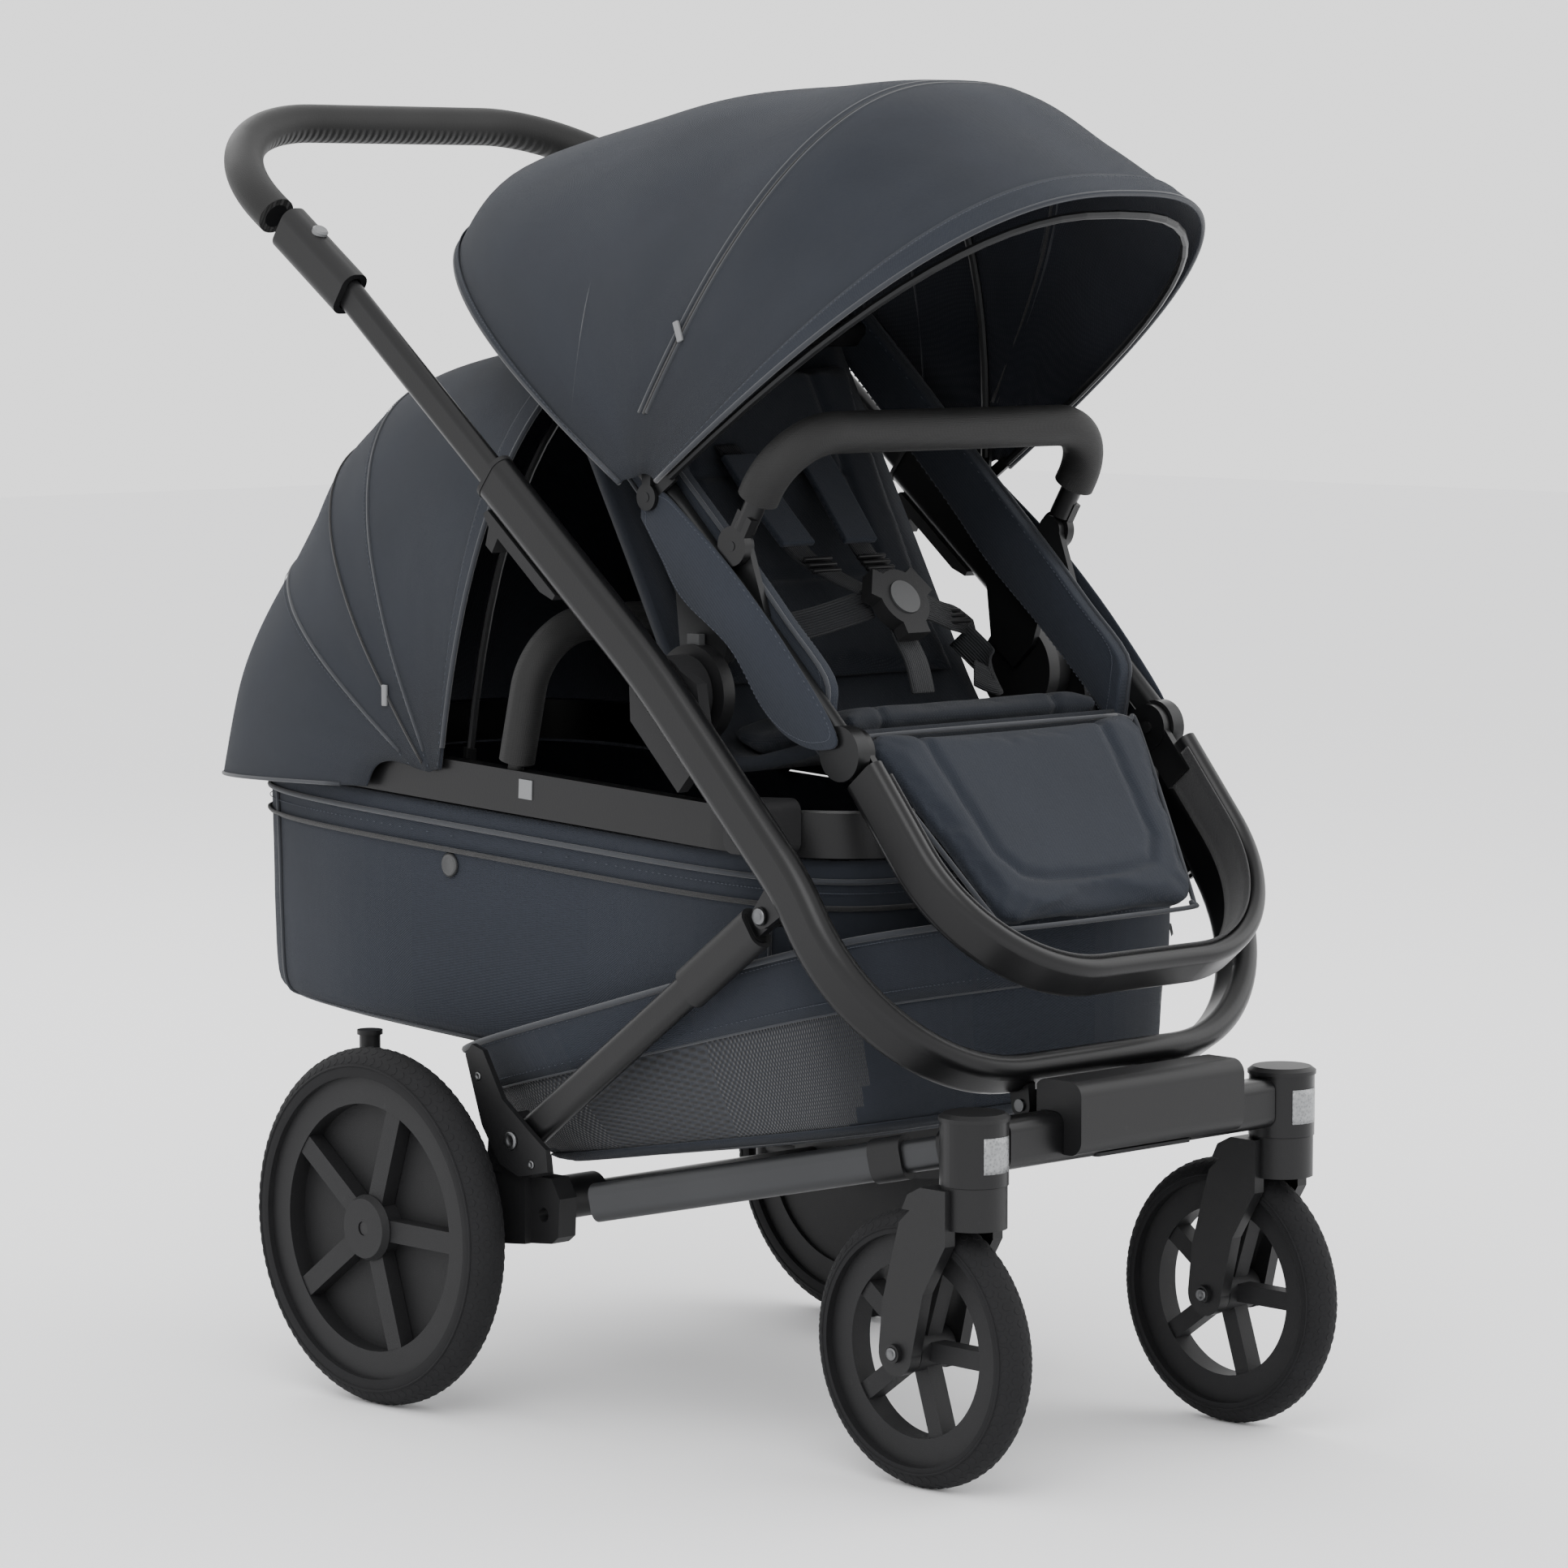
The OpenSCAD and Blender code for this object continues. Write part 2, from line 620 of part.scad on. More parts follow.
module calf_pad() placed() color("#333b4c") translate([0, -259, 592]) rotate([52, 0, 0])
  translate([0, 0, -24]) linear_extrude(24) hull() {
    both() translate([140, -22]) circle(20);
    both() translate([96, -170]) circle(24);
  }

// ---------- seat canopy ----------

canopy_tops = [
  [-396, 1006, 204, 2.7], [-310, 1056, 204, 2.7], [-212, 1096, 204, 2.7], [-90, 1098, 205, 2.7], [60,
      1082, 206, 2.6],
  [250, 1042, 208, 2.6], [308, 985, 209, 2.6]
];

module canopy_fabric() placed() color("#333b4c") hood_shell(hood, canopy_tops, 3, 26);

// Bow of a canopy: a bent wire below the cloth, with an eye at each end on the pivot's pin
module bow(base, top, w, n, d, eye_x, eye_t) {
  steps = 30;
  loft([for (i = [0:steps]) let (
      t = 1.8 + i * 176.4 / steps, p = arch_point(w, base, top, n, t),
      q = arch_point(w, base, top, n, t + 1) - arch_point(w, base, top, n, t - 1), h = q / norm(q),
      up = [0, -(top[1] - base[1]), top[0] - base[0]] / norm(top - base), side = cross(h, up))
    [for (k = [0:7]) p + (up * cos(k * 45) + side * sin(k * 45)) * d / 2]]);
  both() difference() {
    plate(eye_x, eye_t) {
      translate(base) circle(11);
      translate(base) rotate(atan2(top[1] - base[1], top[0] - base[0])) translate([0, -5]) square([34, 10]);
    }
    disc(eye_x - 5, base[0], base[1], 8.1, 20);
  }
}

module canopy_middle_bow() placed() color("#1c1c1e") bow(hood, [-60, 1078], 193.5, 2.6, 7, 193.6, 3.4);

module canopy_front_bow() placed() color("#1c1c1e") bow(hood, [-380, 990], 193.5, 2.7, 7, 189.7, 3.4);

// ---------- cot ----------

module in_cot() placed() translate([0, 27, cot_z]) rotate([ring_tilt, 0, 0])
    translate([0, cot_y - 27, 0]) children();

module from_cot() translate([0, 27 - cot_y, 0]) rotate([-ring_tilt, 0, 0]) translate([0, -27, -cot_z])
    children();

module at_cot_bar() translate([0, 75, 655]) rotate([cot_bar_slope, 0, 0]) children();

// Tongue below each leg of the cot bar, grown by a gap for its socket
module cot_bar_plug(gap) at_cot_bar() both() translate([204, 100, 0]) run(38 + gap)
    slot(8 + 2 * gap, 16 + 2 * gap);

module cot_ring() color("#2c2d2f") in_cot() {
  difference() {
    translate([0, 0, -ring_h / 2]) linear_extrude(ring_h) difference() {
      pad2d(2 * cot_w, cot_len, cot_corner);
      pad2d(2 * cot_w - 32, cot_len - 32, cot_corner - 16);
    }
    both() translate([cot_w - 8, 84 - cot_y, 4]) cube([30, 16.4, 16.4], center = true);
    from_cot() cot_bar_plug(0.3);
  }
  from_cot() both() disc(180, cot_hood[0], cot_hood[1], 8, 15.2);
}

cot_rows = [
  [182, 352, 0, -224, 4.4], [196, 370, 0, -208, 5], [200, 374, 0, -120, 5], [203, 377, 0, -60, 5],
      [206, 380, 0, -19, 5]
];

module cot_body() color("#232a38") in_cot() {
  tub(cot_rows, 5, 6, 48);
  difference() {
    translate([0, 0, -19.5]) linear_extrude(33) difference() {
      pad2d(2 * cot_w - 33, cot_len - 33, cot_corner - 16.5);
      pad2d(2 * cot_w - 45, cot_len - 45, cot_corner - 22.5);
    }
    from_cot() both() disc(180, cot_hood[0], cot_hood[1], 8, 16);
  }
}

module cot_mattress() color("#1b2130") in_cot() translate([0, 0, -190])
  linear_extrude(36) pad2d(300, 640, 90);

cot_tops = [
  [132, 892, 216, 2.5], [250, 886, 216, 2.5], [372, 858, 216, 2.5], [452, 800, 217, 2.6], [500, 700,
      218, 3.2],
  [532, 596, 220, 5], [548, 500, 220, 5.6]
];

module cot_canopy() placed() color("#2b3343") hood_shell(cot_hood, cot_tops, 3, 26);

module cot_canopy_bow() placed() color("#1c1c1e") bow(cot_hood, [140, 874], 184, 2.5, 7, 181, 6);

module cot_bar() color("#1a1a1c") {
  difference() {
    placed() at_cot_bar() u_sweep(204, 55, 62) circle(d = 30);
    in_cot() translate([-300, -200, -ring_h]) cube([600, 400, 1.5 * ring_h + 0.3]);
  }
  placed() cot_bar_plug(0);
}

module cot_latch(left) color("#9b9da0") in_cot() on_side(left)
  translate([cot_w - 6, 84 - cot_y, 4]) cube([14, 16, 16], center = true);

bridge_beam();
bridge_cover();
bridge_lid();
lower_tubes();
tube_sleeves();
basket();
rear_axle();
axle_blocks();
rear_guards();
brake_pedal();
main_tube();
tube_collars();
seat_adapters();
cot_adapters();
frame_pins();
struts();
strut_sleeves();
handle_tubes();
handle_housings();
handle_grip();
handle_button(true);  // handle_button_left
handle_button(false);  // handle_button_right
fold_hook(true);  // fold_hook_left
fold_hook(false);  // fold_hook_right
rear_rim(true);  // rear_rim_left
rear_rim(false);  // rear_rim_right
rear_tyre(true);  // rear_tyre_left
rear_tyre(false);  // rear_tyre_right
fork(true);  // fork_left
fork(false);  // fork_right
front_rim(true);  // front_rim_left
front_rim(false);  // front_rim_right
front_tyre(true);  // front_tyre_left
front_tyre(false);  // front_tyre_right
swivel_lock(true);  // swivel_lock_left
swivel_lock(false);  // swivel_lock_right
seat_frame();
seat_hubs();
seat_shell();
seat_pad();
harness();
buckle();
buckle_button();
hub_button(true);  // hub_button_left
hub_button(false);  // hub_button_right
bumper_bar();
bumper_grip();
calf_frame();
calf_pad();
canopy_fabric();
canopy_middle_bow();
canopy_front_bow();
cot_ring();
cot_body();
cot_mattress();
cot_canopy();
cot_canopy_bow();
cot_bar();
cot_latch(true);  // cot_latch_left
cot_latch(false);  // cot_latch_right
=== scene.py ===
import math

import bmesh
import bpy
from mathutils import Matrix, Vector


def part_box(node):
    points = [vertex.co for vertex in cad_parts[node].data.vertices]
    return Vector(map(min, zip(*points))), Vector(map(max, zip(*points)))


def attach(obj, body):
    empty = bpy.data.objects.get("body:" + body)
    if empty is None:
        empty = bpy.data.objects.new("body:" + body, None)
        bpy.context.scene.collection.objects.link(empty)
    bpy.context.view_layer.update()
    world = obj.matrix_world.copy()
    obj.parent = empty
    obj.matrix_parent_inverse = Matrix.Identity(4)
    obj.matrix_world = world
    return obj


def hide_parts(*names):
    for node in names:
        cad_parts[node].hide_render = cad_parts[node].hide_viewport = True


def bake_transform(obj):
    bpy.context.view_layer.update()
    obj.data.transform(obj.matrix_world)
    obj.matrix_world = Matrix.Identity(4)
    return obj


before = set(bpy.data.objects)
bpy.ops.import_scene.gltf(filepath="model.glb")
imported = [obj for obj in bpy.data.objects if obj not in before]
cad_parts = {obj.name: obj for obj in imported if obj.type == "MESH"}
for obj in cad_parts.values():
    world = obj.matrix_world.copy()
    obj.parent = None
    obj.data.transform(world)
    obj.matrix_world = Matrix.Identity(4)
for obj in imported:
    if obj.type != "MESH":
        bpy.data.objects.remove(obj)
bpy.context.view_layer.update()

bl_info = {
    "name": "Tandem Stroller Dresser",
    "version": (1, 0, 0),
    "blender": (4, 5, 0),
    "location": "View3D > Sidebar > Stroller",
    "description": "Cloth, padding, tread and finishes for a two-seat stroller frame",
    "category": "Object",
}

# The drawing's origin lies this many millimetres behind the frame's
DRAWING_SHIFT = 46


def spot(x, y, z):
    """Point of the drawing, in millimetres, as a place in the frame, in metres"""
    return Vector((x, y - DRAWING_SHIFT, z)) / 1000


# ---------- sizes and colours a user would change ----------

class ClothSettings(bpy.types.PropertyGroup):
    """Cloth, webbing and padding"""
    colour: bpy.props.FloatVectorProperty(
        name="Cloth", description="Colour of the outer cloth", subtype="COLOR", size=3, min=0, max=1,
        default=(0.0150, 0.0180, 0.0250))
    # Darker than the outer cloth: painted shade for the inside of the canopies and the carrycot
    painted_shade_lining: bpy.props.FloatVectorProperty(
        name="Lining", description="Colour of the lining", subtype="COLOR", size=3, min=0, max=1,
        default=(0.008, 0.0095, 0.014))
    wall: bpy.props.FloatProperty(
        name="Cloth thickness", description="Thickness of the canopy cloth", default=0.0024, unit="LENGTH")
    thread: bpy.props.FloatProperty(
        name="Thread pitch", description="Distance between two threads", default=0.0013, unit="LENGTH")
    piping: bpy.props.FloatProperty(
        name="Piping radius", description="Radius of the sewn edge piping", default=0.0019, unit="LENGTH")
    webbing: bpy.props.FloatProperty(
        name="Webbing width", description="Width of the harness straps", default=0.025, unit="LENGTH")
    pressure: bpy.props.FloatProperty(
        name="Padding pressure", description="How firmly the pads are filled", default=4.0)


class FrameSettings(bpy.types.PropertyGroup):
    """Metal, plastic and grips"""
    metal: bpy.props.FloatVectorProperty(
        name="Frame", description="Colour of the black satin frame", subtype="COLOR", size=3, min=0, max=1,
        default=(0.0055, 0.0055, 0.006))
    grey: bpy.props.FloatVectorProperty(
        name="Lower tubes", description="Colour of the grey lower tubes", subtype="COLOR", size=3, min=0,
        max=1,
        default=(0.042, 0.043, 0.045))
    plastic: bpy.props.FloatVectorProperty(
        name="Plastic", description="Colour of the moulded plastic", subtype="COLOR", size=3, min=0, max=1,
        default=(0.006, 0.006, 0.0065))
    accent: bpy.props.FloatVectorProperty(
        name="Buttons", description="Colour of the light grey buttons", subtype="COLOR", size=3, min=0, max=1,
        default=(0.15, 0.153, 0.157))
    leather: bpy.props.FloatVectorProperty(
        name="Grips", description="Colour of the grip sleeves", subtype="COLOR", size=3, min=0, max=1,
        default=(0.006, 0.006, 0.006))


class WheelSettings(bpy.types.PropertyGroup):
    """Tyres and their tread"""
    rubber: bpy.props.FloatVectorProperty(
        name="Rubber", description="Colour of the tyres", subtype="COLOR", size=3, min=0, max=1,
        default=(0.0055, 0.0055, 0.006))
    knob: bpy.props.FloatProperty(
        name="Knob radius", description="Radius of one tread knob", default=0.0042, unit="LENGTH")
    knob_height: bpy.props.FloatProperty(
        name="Knob height", description="How far a knob stands out", default=0.0016, unit="LENGTH")
    rows: bpy.props.IntProperty(name="Tread rows", description="Rows of knobs across a tyre", default=5,
                                min=1)


class StudioSettings(bpy.types.PropertyGroup):
    """Floor, light and camera"""
    floor: bpy.props.FloatVectorProperty(
        name="Floor", description="Colour of the floor", subtype="COLOR", size=3, min=0, max=1,
        default=(0.93, 0.93, 0.94))
    glow: bpy.props.FloatProperty(name="Surround", description="Strength of the soft surround light",
                                  default=1.7)
    key: bpy.props.FloatProperty(name="Key light", description="Power of the key light", default=85.0,
                                 unit="POWER")
    lens: bpy.props.FloatProperty(
        name="Lens", description="Focal length of the camera", default=129.4, unit="CAMERA")


def cloth():
    return bpy.context.scene.stroller_cloth


def metal():
    return bpy.context.scene.stroller_frame


def wheels():
    return bpy.context.scene.stroller_wheels


def studio():
    return bpy.context.scene.stroller_studio


# ---------- shader arithmetic ----------

class Value:
    """A node's output that takes plain arithmetic"""

    def __init__(self, shade, socket):
        self.shade = shade
        self.socket = socket

    def math(self, operation, *values):
        return self.shade.node("ShaderNodeMath", {"operation": operation}, *values)

    def __add__(self, other):
        return self.math("ADD", self, other)

    def __radd__(self, other):
        return self.math("ADD", other, self)

    def __sub__(self, other):
        return self.math("SUBTRACT", self, other)

    def __rsub__(self, other):
        return self.math("SUBTRACT", other, self)

    def __mul__(self, other):
        return self.math("MULTIPLY", self, other)

    def __rmul__(self, other):
        return self.math("MULTIPLY", other, self)

    def sine(self):
        return self.math("SINE", self)

    def above(self, limit):
        return self.math("GREATER_THAN", self, limit)


class Shade:
    """A material and its node tree"""

    def __init__(self, name):
        self.material = bpy.data.materials.new(name)
        self.material.use_nodes = True
        self.tree = self.material.node_tree
        self.base = self.tree.nodes["Principled BSDF"]

    def node(self, kind, settings=None, *values, out=0, **named):
        made = self.tree.nodes.new(kind)
        for key, setting in (settings or {}).items():
            setattr(made, key, setting)
        pairs = list(enumerate(values)) + [(key.replace("_", " "), value) for key, value in named.items()]
        for key, value in pairs:
            self.feed(made.inputs[key], value)
        return Value(self, made.outputs[out])

    def feed(self, socket, value):
        if isinstance(value, Value):
            self.tree.links.new(value.socket, socket)
        else:
            socket.default_value = value

    def place(self, source="Object"):
        return self.node("ShaderNodeTexCoord", out=source)

    def parts(self, vector):
        split = self.node("ShaderNodeSeparateXYZ", None, vector)
        return [Value(self, output) for output in split.socket.node.outputs]

    def noise(self, vector, scale, detail=2.0, roughness=0.5):
        return self.node("ShaderNodeTexNoise", None, Vector=vector, Scale=scale, Detail=detail,
                         Roughness=roughness)

    def mix(self, factor, first, second):
        made = self.tree.nodes.new("ShaderNodeMix")
        made.data_type = "RGBA"
        for key, value in ((0, factor), (6, first), (7, second)):
            self.feed(made.inputs[key], value)
        return Value(self, made.outputs[2])

    def bump(self, height, distance, strength=1.0):
        normal = self.node("ShaderNodeBump", None, Height=height, Distance=distance, Strength=strength)
        self.feed(self.base.inputs["Normal"], normal)

    def set(self, **values):
        for key, value in values.items():
            self.feed(self.base.inputs[key.replace("_", " ")], value)


def tint(colour, gain):
    return tuple(min(1.0, c * gain) for c in colour) + (1.0,)


FINISHES = {}


def finish_once(build):
    """Each finish is built the first time that a piece asks for it"""
    def wrapped():
        if build.__name__ not in FINISHES:
            shade = Shade(build.__name__)
            build(shade)
            FINISHES[build.__name__] = shade.material
        return FINISHES[build.__name__]
    return wrapped


def weave(shade, colour, source, pitch, relief):
    """Fine plain weave with the mixed light and dark threads of a heathered yarn"""
    at = shade.place(source)
    x, y, z = shade.parts(at)
    turn = 2 * math.pi / pitch
    across = y + z * 0.37 if source == "Object" else y
    threads = (x * turn).sine() * (across * turn).sine()
    slub = shade.noise(at, 900.0, 3.0, 0.6)
    cloudy = shade.noise(at, 14.0, 2.0)
    tone = slub * 0.75 + cloudy * 0.35 - 0.05
    shade.set(Base_Color=shade.mix(tone, tint(colour, 0.62), tint(colour, 1.55)))
    shade.set(Roughness=0.86 + slub * 0.1, Sheen_Weight=0.06, Sheen_Roughness=0.45, Specular_IOR_Level=0.22)
    crease = shade.noise(at, 32.0, 3.0, 0.55)
    shade.bump(threads * 0.45 + slub * 0.6 + crease * 1.8, relief)


@finish_once
def canopy_cloth(shade):
    weave(shade, cloth().colour, "UV", cloth().thread, 0.00045)


@finish_once
def pad_cloth(shade):
    weave(shade, cloth().colour, "Object", cloth().thread, 0.0004)


# The lining's darker colour is painted shade on the inside of the canopies, the carrycot and its mattress
@finish_once
def lining_painted_shade(shade):
    weave(shade, cloth().painted_shade_lining, "Object", cloth().thread * 1.3, 0.0003)


# A darker copy of the outer cloth: painted shade on the seat's back, back pad and cushion
@finish_once
def seat_cloth_painted_shade(shade):
    weave(shade, tuple(0.62 * c for c in cloth().colour), "Object", cloth().thread, 0.0004)


@finish_once
def net_cloth(shade):
    """Knitted net with rows of small eyes, painted near-black as painted shade in place of openings"""
    at = shade.place("UV")
    x, y, z = shade.parts(at)
    turn = 2 * math.pi / 0.0042
    eyes = (x * turn).sine() * (y * turn).sine() + 0.15
    painted_shade_eye = eyes.above(0.28)
    # The eyes are painted near-black: painted shade where the net would be open
    shade.set(Base_Color=shade.mix(painted_shade_eye, tint(cloth().colour, 0.8), (0.002, 0.002, 0.003, 1)))
    shade.set(Roughness=0.9 - painted_shade_eye * 0.1, Sheen_Weight=0.15)
    shade.bump(eyes, 0.0006)


@finish_once
def piping_cloth(shade):
    at = shade.place()
    fleck = shade.noise(at, 1400.0)
    shade.set(Base_Color=shade.mix(fleck, tint(cloth().colour, 0.45), tint(cloth().colour, 1.0)))
    shade.set(Roughness=0.8, Sheen_Weight=0.2)
    shade.bump(fleck, 0.0002)


@finish_once
def thread_cotton(shade):
    at = shade.place()
    fleck = shade.noise(at, 2200.0)
    shade.set(Base_Color=shade.mix(fleck, tint(cloth().colour, 1.2), tint(cloth().colour, 2.2)),
              Roughness=0.7)


@finish_once
def strap_webbing(shade):
    """Ribbed harness webbing; its ribs run along the strap"""
    at = shade.place("UV")
    x, y, z = shade.parts(at)
    ribs = (x * (2 * math.pi / 0.0022)).sine()
    cross = (y * (2 * math.pi / 0.0011)).sine()
    fleck = shade.noise(at, 1200.0)
    shade.set(Base_Color=shade.mix(fleck * 0.6 + ribs * 0.2 + 0.1, (0.003, 0.0035, 0.0045, 1),
                                   (0.012, 0.013, 0.016, 1)))
    shade.set(Roughness=0.62, Sheen_Weight=0.04, Specular_IOR_Level=0.3)
    shade.bump(ribs + cross * 0.4 * ribs, 0.00035)


def satin(shade, colour, metallic, roughness, scuffs):
    """Anodised or painted metal: faint orange peel, uneven gloss and a little wear"""
    at = shade.place()
    peel = shade.noise(at, 620.0, 2.0)
    cloudy = shade.noise(at, 9.0, 3.0)
    scuff = shade.noise(at, 60.0, 8.0, 0.7).above(0.69) * scuffs
    shade.set(Base_Color=shade.mix(scuff + cloudy * 0.2, tint(colour, 0.9), tint(colour, 2.1)),
              Metallic=metallic)
    shade.set(Roughness=roughness + cloudy * 0.08 + scuff * 0.1, Specular_IOR_Level=0.4)
    shade.bump(peel, 0.00006)


@finish_once
def black_satin(shade):
    satin(shade, metal().metal, 0.35, 0.30, 0.3)


@finish_once
def grey_satin(shade):
    satin(shade, metal().grey, 0.75, 0.34, 0.25)


@finish_once
def dark_grey_satin(shade):
    satin(shade, tuple(0.36 * c for c in metal().grey), 0.6, 0.33, 0.25)


@finish_once
def bright_steel(shade):
    at = shade.place()
    stretched = shade.node("ShaderNodeMapping", None, Vector=at, Scale=(30.0, 900.0, 900.0))
    brushed = shade.noise(stretched, 3.0, 4.0)
    shade.set(Base_Color=shade.mix(brushed, (0.09, 0.092, 0.095, 1), (0.17, 0.172, 0.176, 1)), Metallic=1.0)
    shade.set(Roughness=0.26 + brushed * 0.16)
    shade.bump(brushed, 0.00004)


def moulded(shade, colour, roughness, grain):
    """Moulded plastic with a fine eroded grain and rubbed high spots"""
    at = shade.place()
    pits = shade.node("ShaderNodeTexVoronoi", {"feature": "SMOOTH_F1"}, Vector=at, Scale=1500.0)
    flow = shade.noise(at, 7.0, 2.0)
    rub = shade.noise(at, 110.0, 6.0, 0.65).above(0.66) * 0.25
    shade.set(Base_Color=shade.mix(flow * 0.35 + rub, tint(colour, 0.85), tint(colour, 1.9)))
    shade.set(Roughness=roughness + flow * 0.1 - rub * 0.12, Specular_IOR_Level=0.28)
    shade.bump(pits + flow * 0.2, grain)


@finish_once
def black_plastic(shade):
    moulded(shade, metal().plastic, 0.42, 0.00006)


@finish_once
def matt_plastic(shade):
    moulded(shade, tuple(1.4 * c for c in metal().plastic), 0.56, 0.0001)


@finish_once
def grey_plastic(shade):
    moulded(shade, metal().accent, 0.38, 0.00004)


@finish_once
def mid_plastic(shade):
    moulded(shade, tuple(0.3 * c for c in metal().accent), 0.42, 0.00005)


@finish_once
def grip_leather(shade):
    """Pebbled leatherette; the sleeve is gathered in short ribs along its underside"""
    at = shade.place()
    x, y, z = shade.parts(at)
    pebble = shade.node("ShaderNodeTexVoronoi", {"feature": "SMOOTH_F1"}, Vector=at, Scale=1100.0)
    flow = shade.noise(at, 22.0, 3.0)
    gather = (x * (2 * math.pi / 0.0075) + flow * 2.0).sine()
    normal = shade.node("ShaderNodeNewGeometry", out="Normal")
    down = shade.parts(normal)[2]
    low = shade.node("ShaderNodeClamp", Value=down * -2.2 - 0.5)
    shade.set(Base_Color=shade.mix(flow * 0.5 + pebble * 0.3, tint(metal().leather, 0.8),
                                   tint(metal().leather, 2.2)))
    shade.set(Roughness=0.48 + flow * 0.16, Specular_IOR_Level=0.28)
    shade.bump(pebble * 0.16 + low * (gather + 1) * 0.9, 0.0009)


@finish_once
def foam_grip(shade):
    """Leatherette with a fine raised twill, as on the bumper and the carry bar"""
    at = shade.place()
    x, y, z = shade.parts(at)
    twill = ((x + z) * (2 * math.pi / 0.0024)).sine() * ((x - z) * (2 * math.pi / 0.0024)).sine()
    flow = shade.noise(at, 26.0, 3.0)
    shade.set(Base_Color=shade.mix(flow, tint(metal().leather, 0.8), tint(metal().leather, 1.8)))
    shade.set(Roughness=0.55 + flow * 0.14, Specular_IOR_Level=0.28)
    shade.bump(twill * 0.5 + flow * 0.4, 0.00022)


@finish_once
def tyre_rubber(shade):
    at = shade.place()
    dust = shade.noise(at, 40.0, 6.0, 0.6)
    fine = shade.noise(at, 900.0)
    shade.set(Base_Color=shade.mix(dust, tint(wheels().rubber, 0.8), tint(wheels().rubber, 2.3)))
    shade.set(Roughness=0.74 + dust * 0.16, Specular_IOR_Level=0.22)
    shade.bump(fine + dust * 0.5, 0.00012)


@finish_once
def reflector(shade):
    """Silver retro-reflective patch of tiny prisms"""
    at = shade.place()
    prisms = shade.node("ShaderNodeTexVoronoi", {"feature": "F1"}, Vector=at, Scale=420.0)
    shade.set(Base_Color=shade.mix(prisms, (0.15, 0.155, 0.16, 1), (0.30, 0.305, 0.31, 1)), Metallic=0.6)
    shade.set(Roughness=0.22 + prisms * 0.2)
    shade.bump(prisms, 0.0002)


@finish_once
def felt(shade):
    at = shade.place()
    fibres = shade.noise(at, 700.0, 6.0, 0.8)
    shade.set(Base_Color=shade.mix(fibres, (0.004, 0.004, 0.005, 1), (0.014, 0.014, 0.015, 1)))
    shade.set(Roughness=0.95, Sheen_Weight=0.15)
    shade.bump(fibres, 0.0008)


@finish_once
def floor_paint(shade):
    at = shade.place()
    soft = shade.noise(at, 2.0, 2.0)
    shade.set(Base_Color=shade.mix(soft, tint(studio().floor, 0.985), tint(studio().floor, 1.0)),
              Roughness=0.85)


# ---------- mesh building ----------

WELD = 0.00002


def curve_through(points):
    """Smooth path through a few points; takes 0 at the first and 1 at the last"""
    rows = [tuple(p) for p in points]

    def at(u):
        step = min(max(u, 0.0), 1.0) * (len(rows) - 1)
        i = min(int(step), len(rows) - 2)
        f = step - i
        p0, p1, p2, p3 = (rows[min(max(i + k, 0), len(rows) - 1)] for k in (-1, 0, 1, 2))
        return tuple(
            b + 0.5 * f * (c - a + f * (2 * a - 5 * b + 4 * c - d + f * (3 * (b - c) + d - a)))
            for a, b, c, d in zip(p0, p1, p2, p3))
    return at


def power(value, exponent):
    return math.copysign(abs(value) ** exponent, value)


def sheet_mesh(bm, across, along, place, size, closed=False):
    """A bmesh grid laid on a formula: place takes 0..1 across and 0..1 along and gives a point in metres"""
    layer = bm.loops.layers.uv.verify()
    made = bmesh.ops.create_grid(bm, x_segments=across, y_segments=along, size=0.5, calc_uvs=True)
    new = set(made["verts"])
    for face in bm.faces:
        for loop in face.loops:
            if loop.vert in new:
                uv = loop[layer].uv
                loop[layer].uv = (uv.x * size[0], uv.y * size[1])
    for vert in made["verts"]:
        vert.co = place(vert.co.x + 0.5, vert.co.y + 0.5)
    if closed:
        bmesh.ops.remove_doubles(bm, verts=bm.verts, dist=WELD)


def turn_out(bm, centre):
    """Turns an open sheet's faces away from a point"""
    bm.normal_update()
    side = sum((f.calc_center_median() - centre).dot(f.normal) * f.calc_area() for f in bm.faces)
    if side < 0:
        bmesh.ops.reverse_faces(bm, faces=bm.faces)


def piece(name, bm, materials, body, smooth=True):
    mesh = bpy.data.meshes.new(name)
    bm.to_mesh(mesh)
    bm.free()
    made = bpy.data.objects.new(name, mesh)
    bpy.context.scene.collection.objects.link(made)
    for material in materials:
        mesh.materials.append(material)
    if smooth:
        mesh.shade_smooth()
    if body:
        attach(made, body)
    return made


def thicken(made, thickness, offset=-1.0, painted_shade_lining=False):
    wall = made.modifiers.new("wall", "SOLIDIFY")
    wall.thickness = thickness
    wall.offset = offset
    wall.use_quality_normals = True
    # The inside face takes the second slot, the darker lining colour, which is painted shade
    if painted_shade_lining:
        wall.material_offset = 1
    return made


def round_edges(made, width, segments=3, angle=35):
    bevel = made.modifiers.new("edges", "BEVEL")
    bevel.width = width
    bevel.segments = segments
    bevel.limit_method = "ANGLE"
    bevel.angle_limit = math.radians(angle)
    return made


def soften(made, levels=1):
    sub = made.modifiers.new("soft", "SUBSURF")
    sub.levels = levels
    sub.render_levels = levels
    return made


def apply_all(made):
    """Keeps what the modifiers make as the mesh itself"""
    graph = bpy.context.evaluated_depsgraph_get()
    mesh = bpy.data.meshes.new_from_object(made.evaluated_get(graph))
    made.modifiers.clear()
    made.data = mesh


def frames_along(points):
    """Point, sideways and upward direction along a path, without twist"""
    points = [Vector(p) for p in points]
    side = None
    rows = []
    for i, point in enumerate(points):
        heading = (points[min(i + 1, len(points) - 1)] - points[max(i - 1, 0)]).normalized()
        side = heading.orthogonal() if side is None else side - heading * side.dot(heading)
        side.normalize()
        rows.append((point, side.copy(), heading.cross(side)))
    return rows


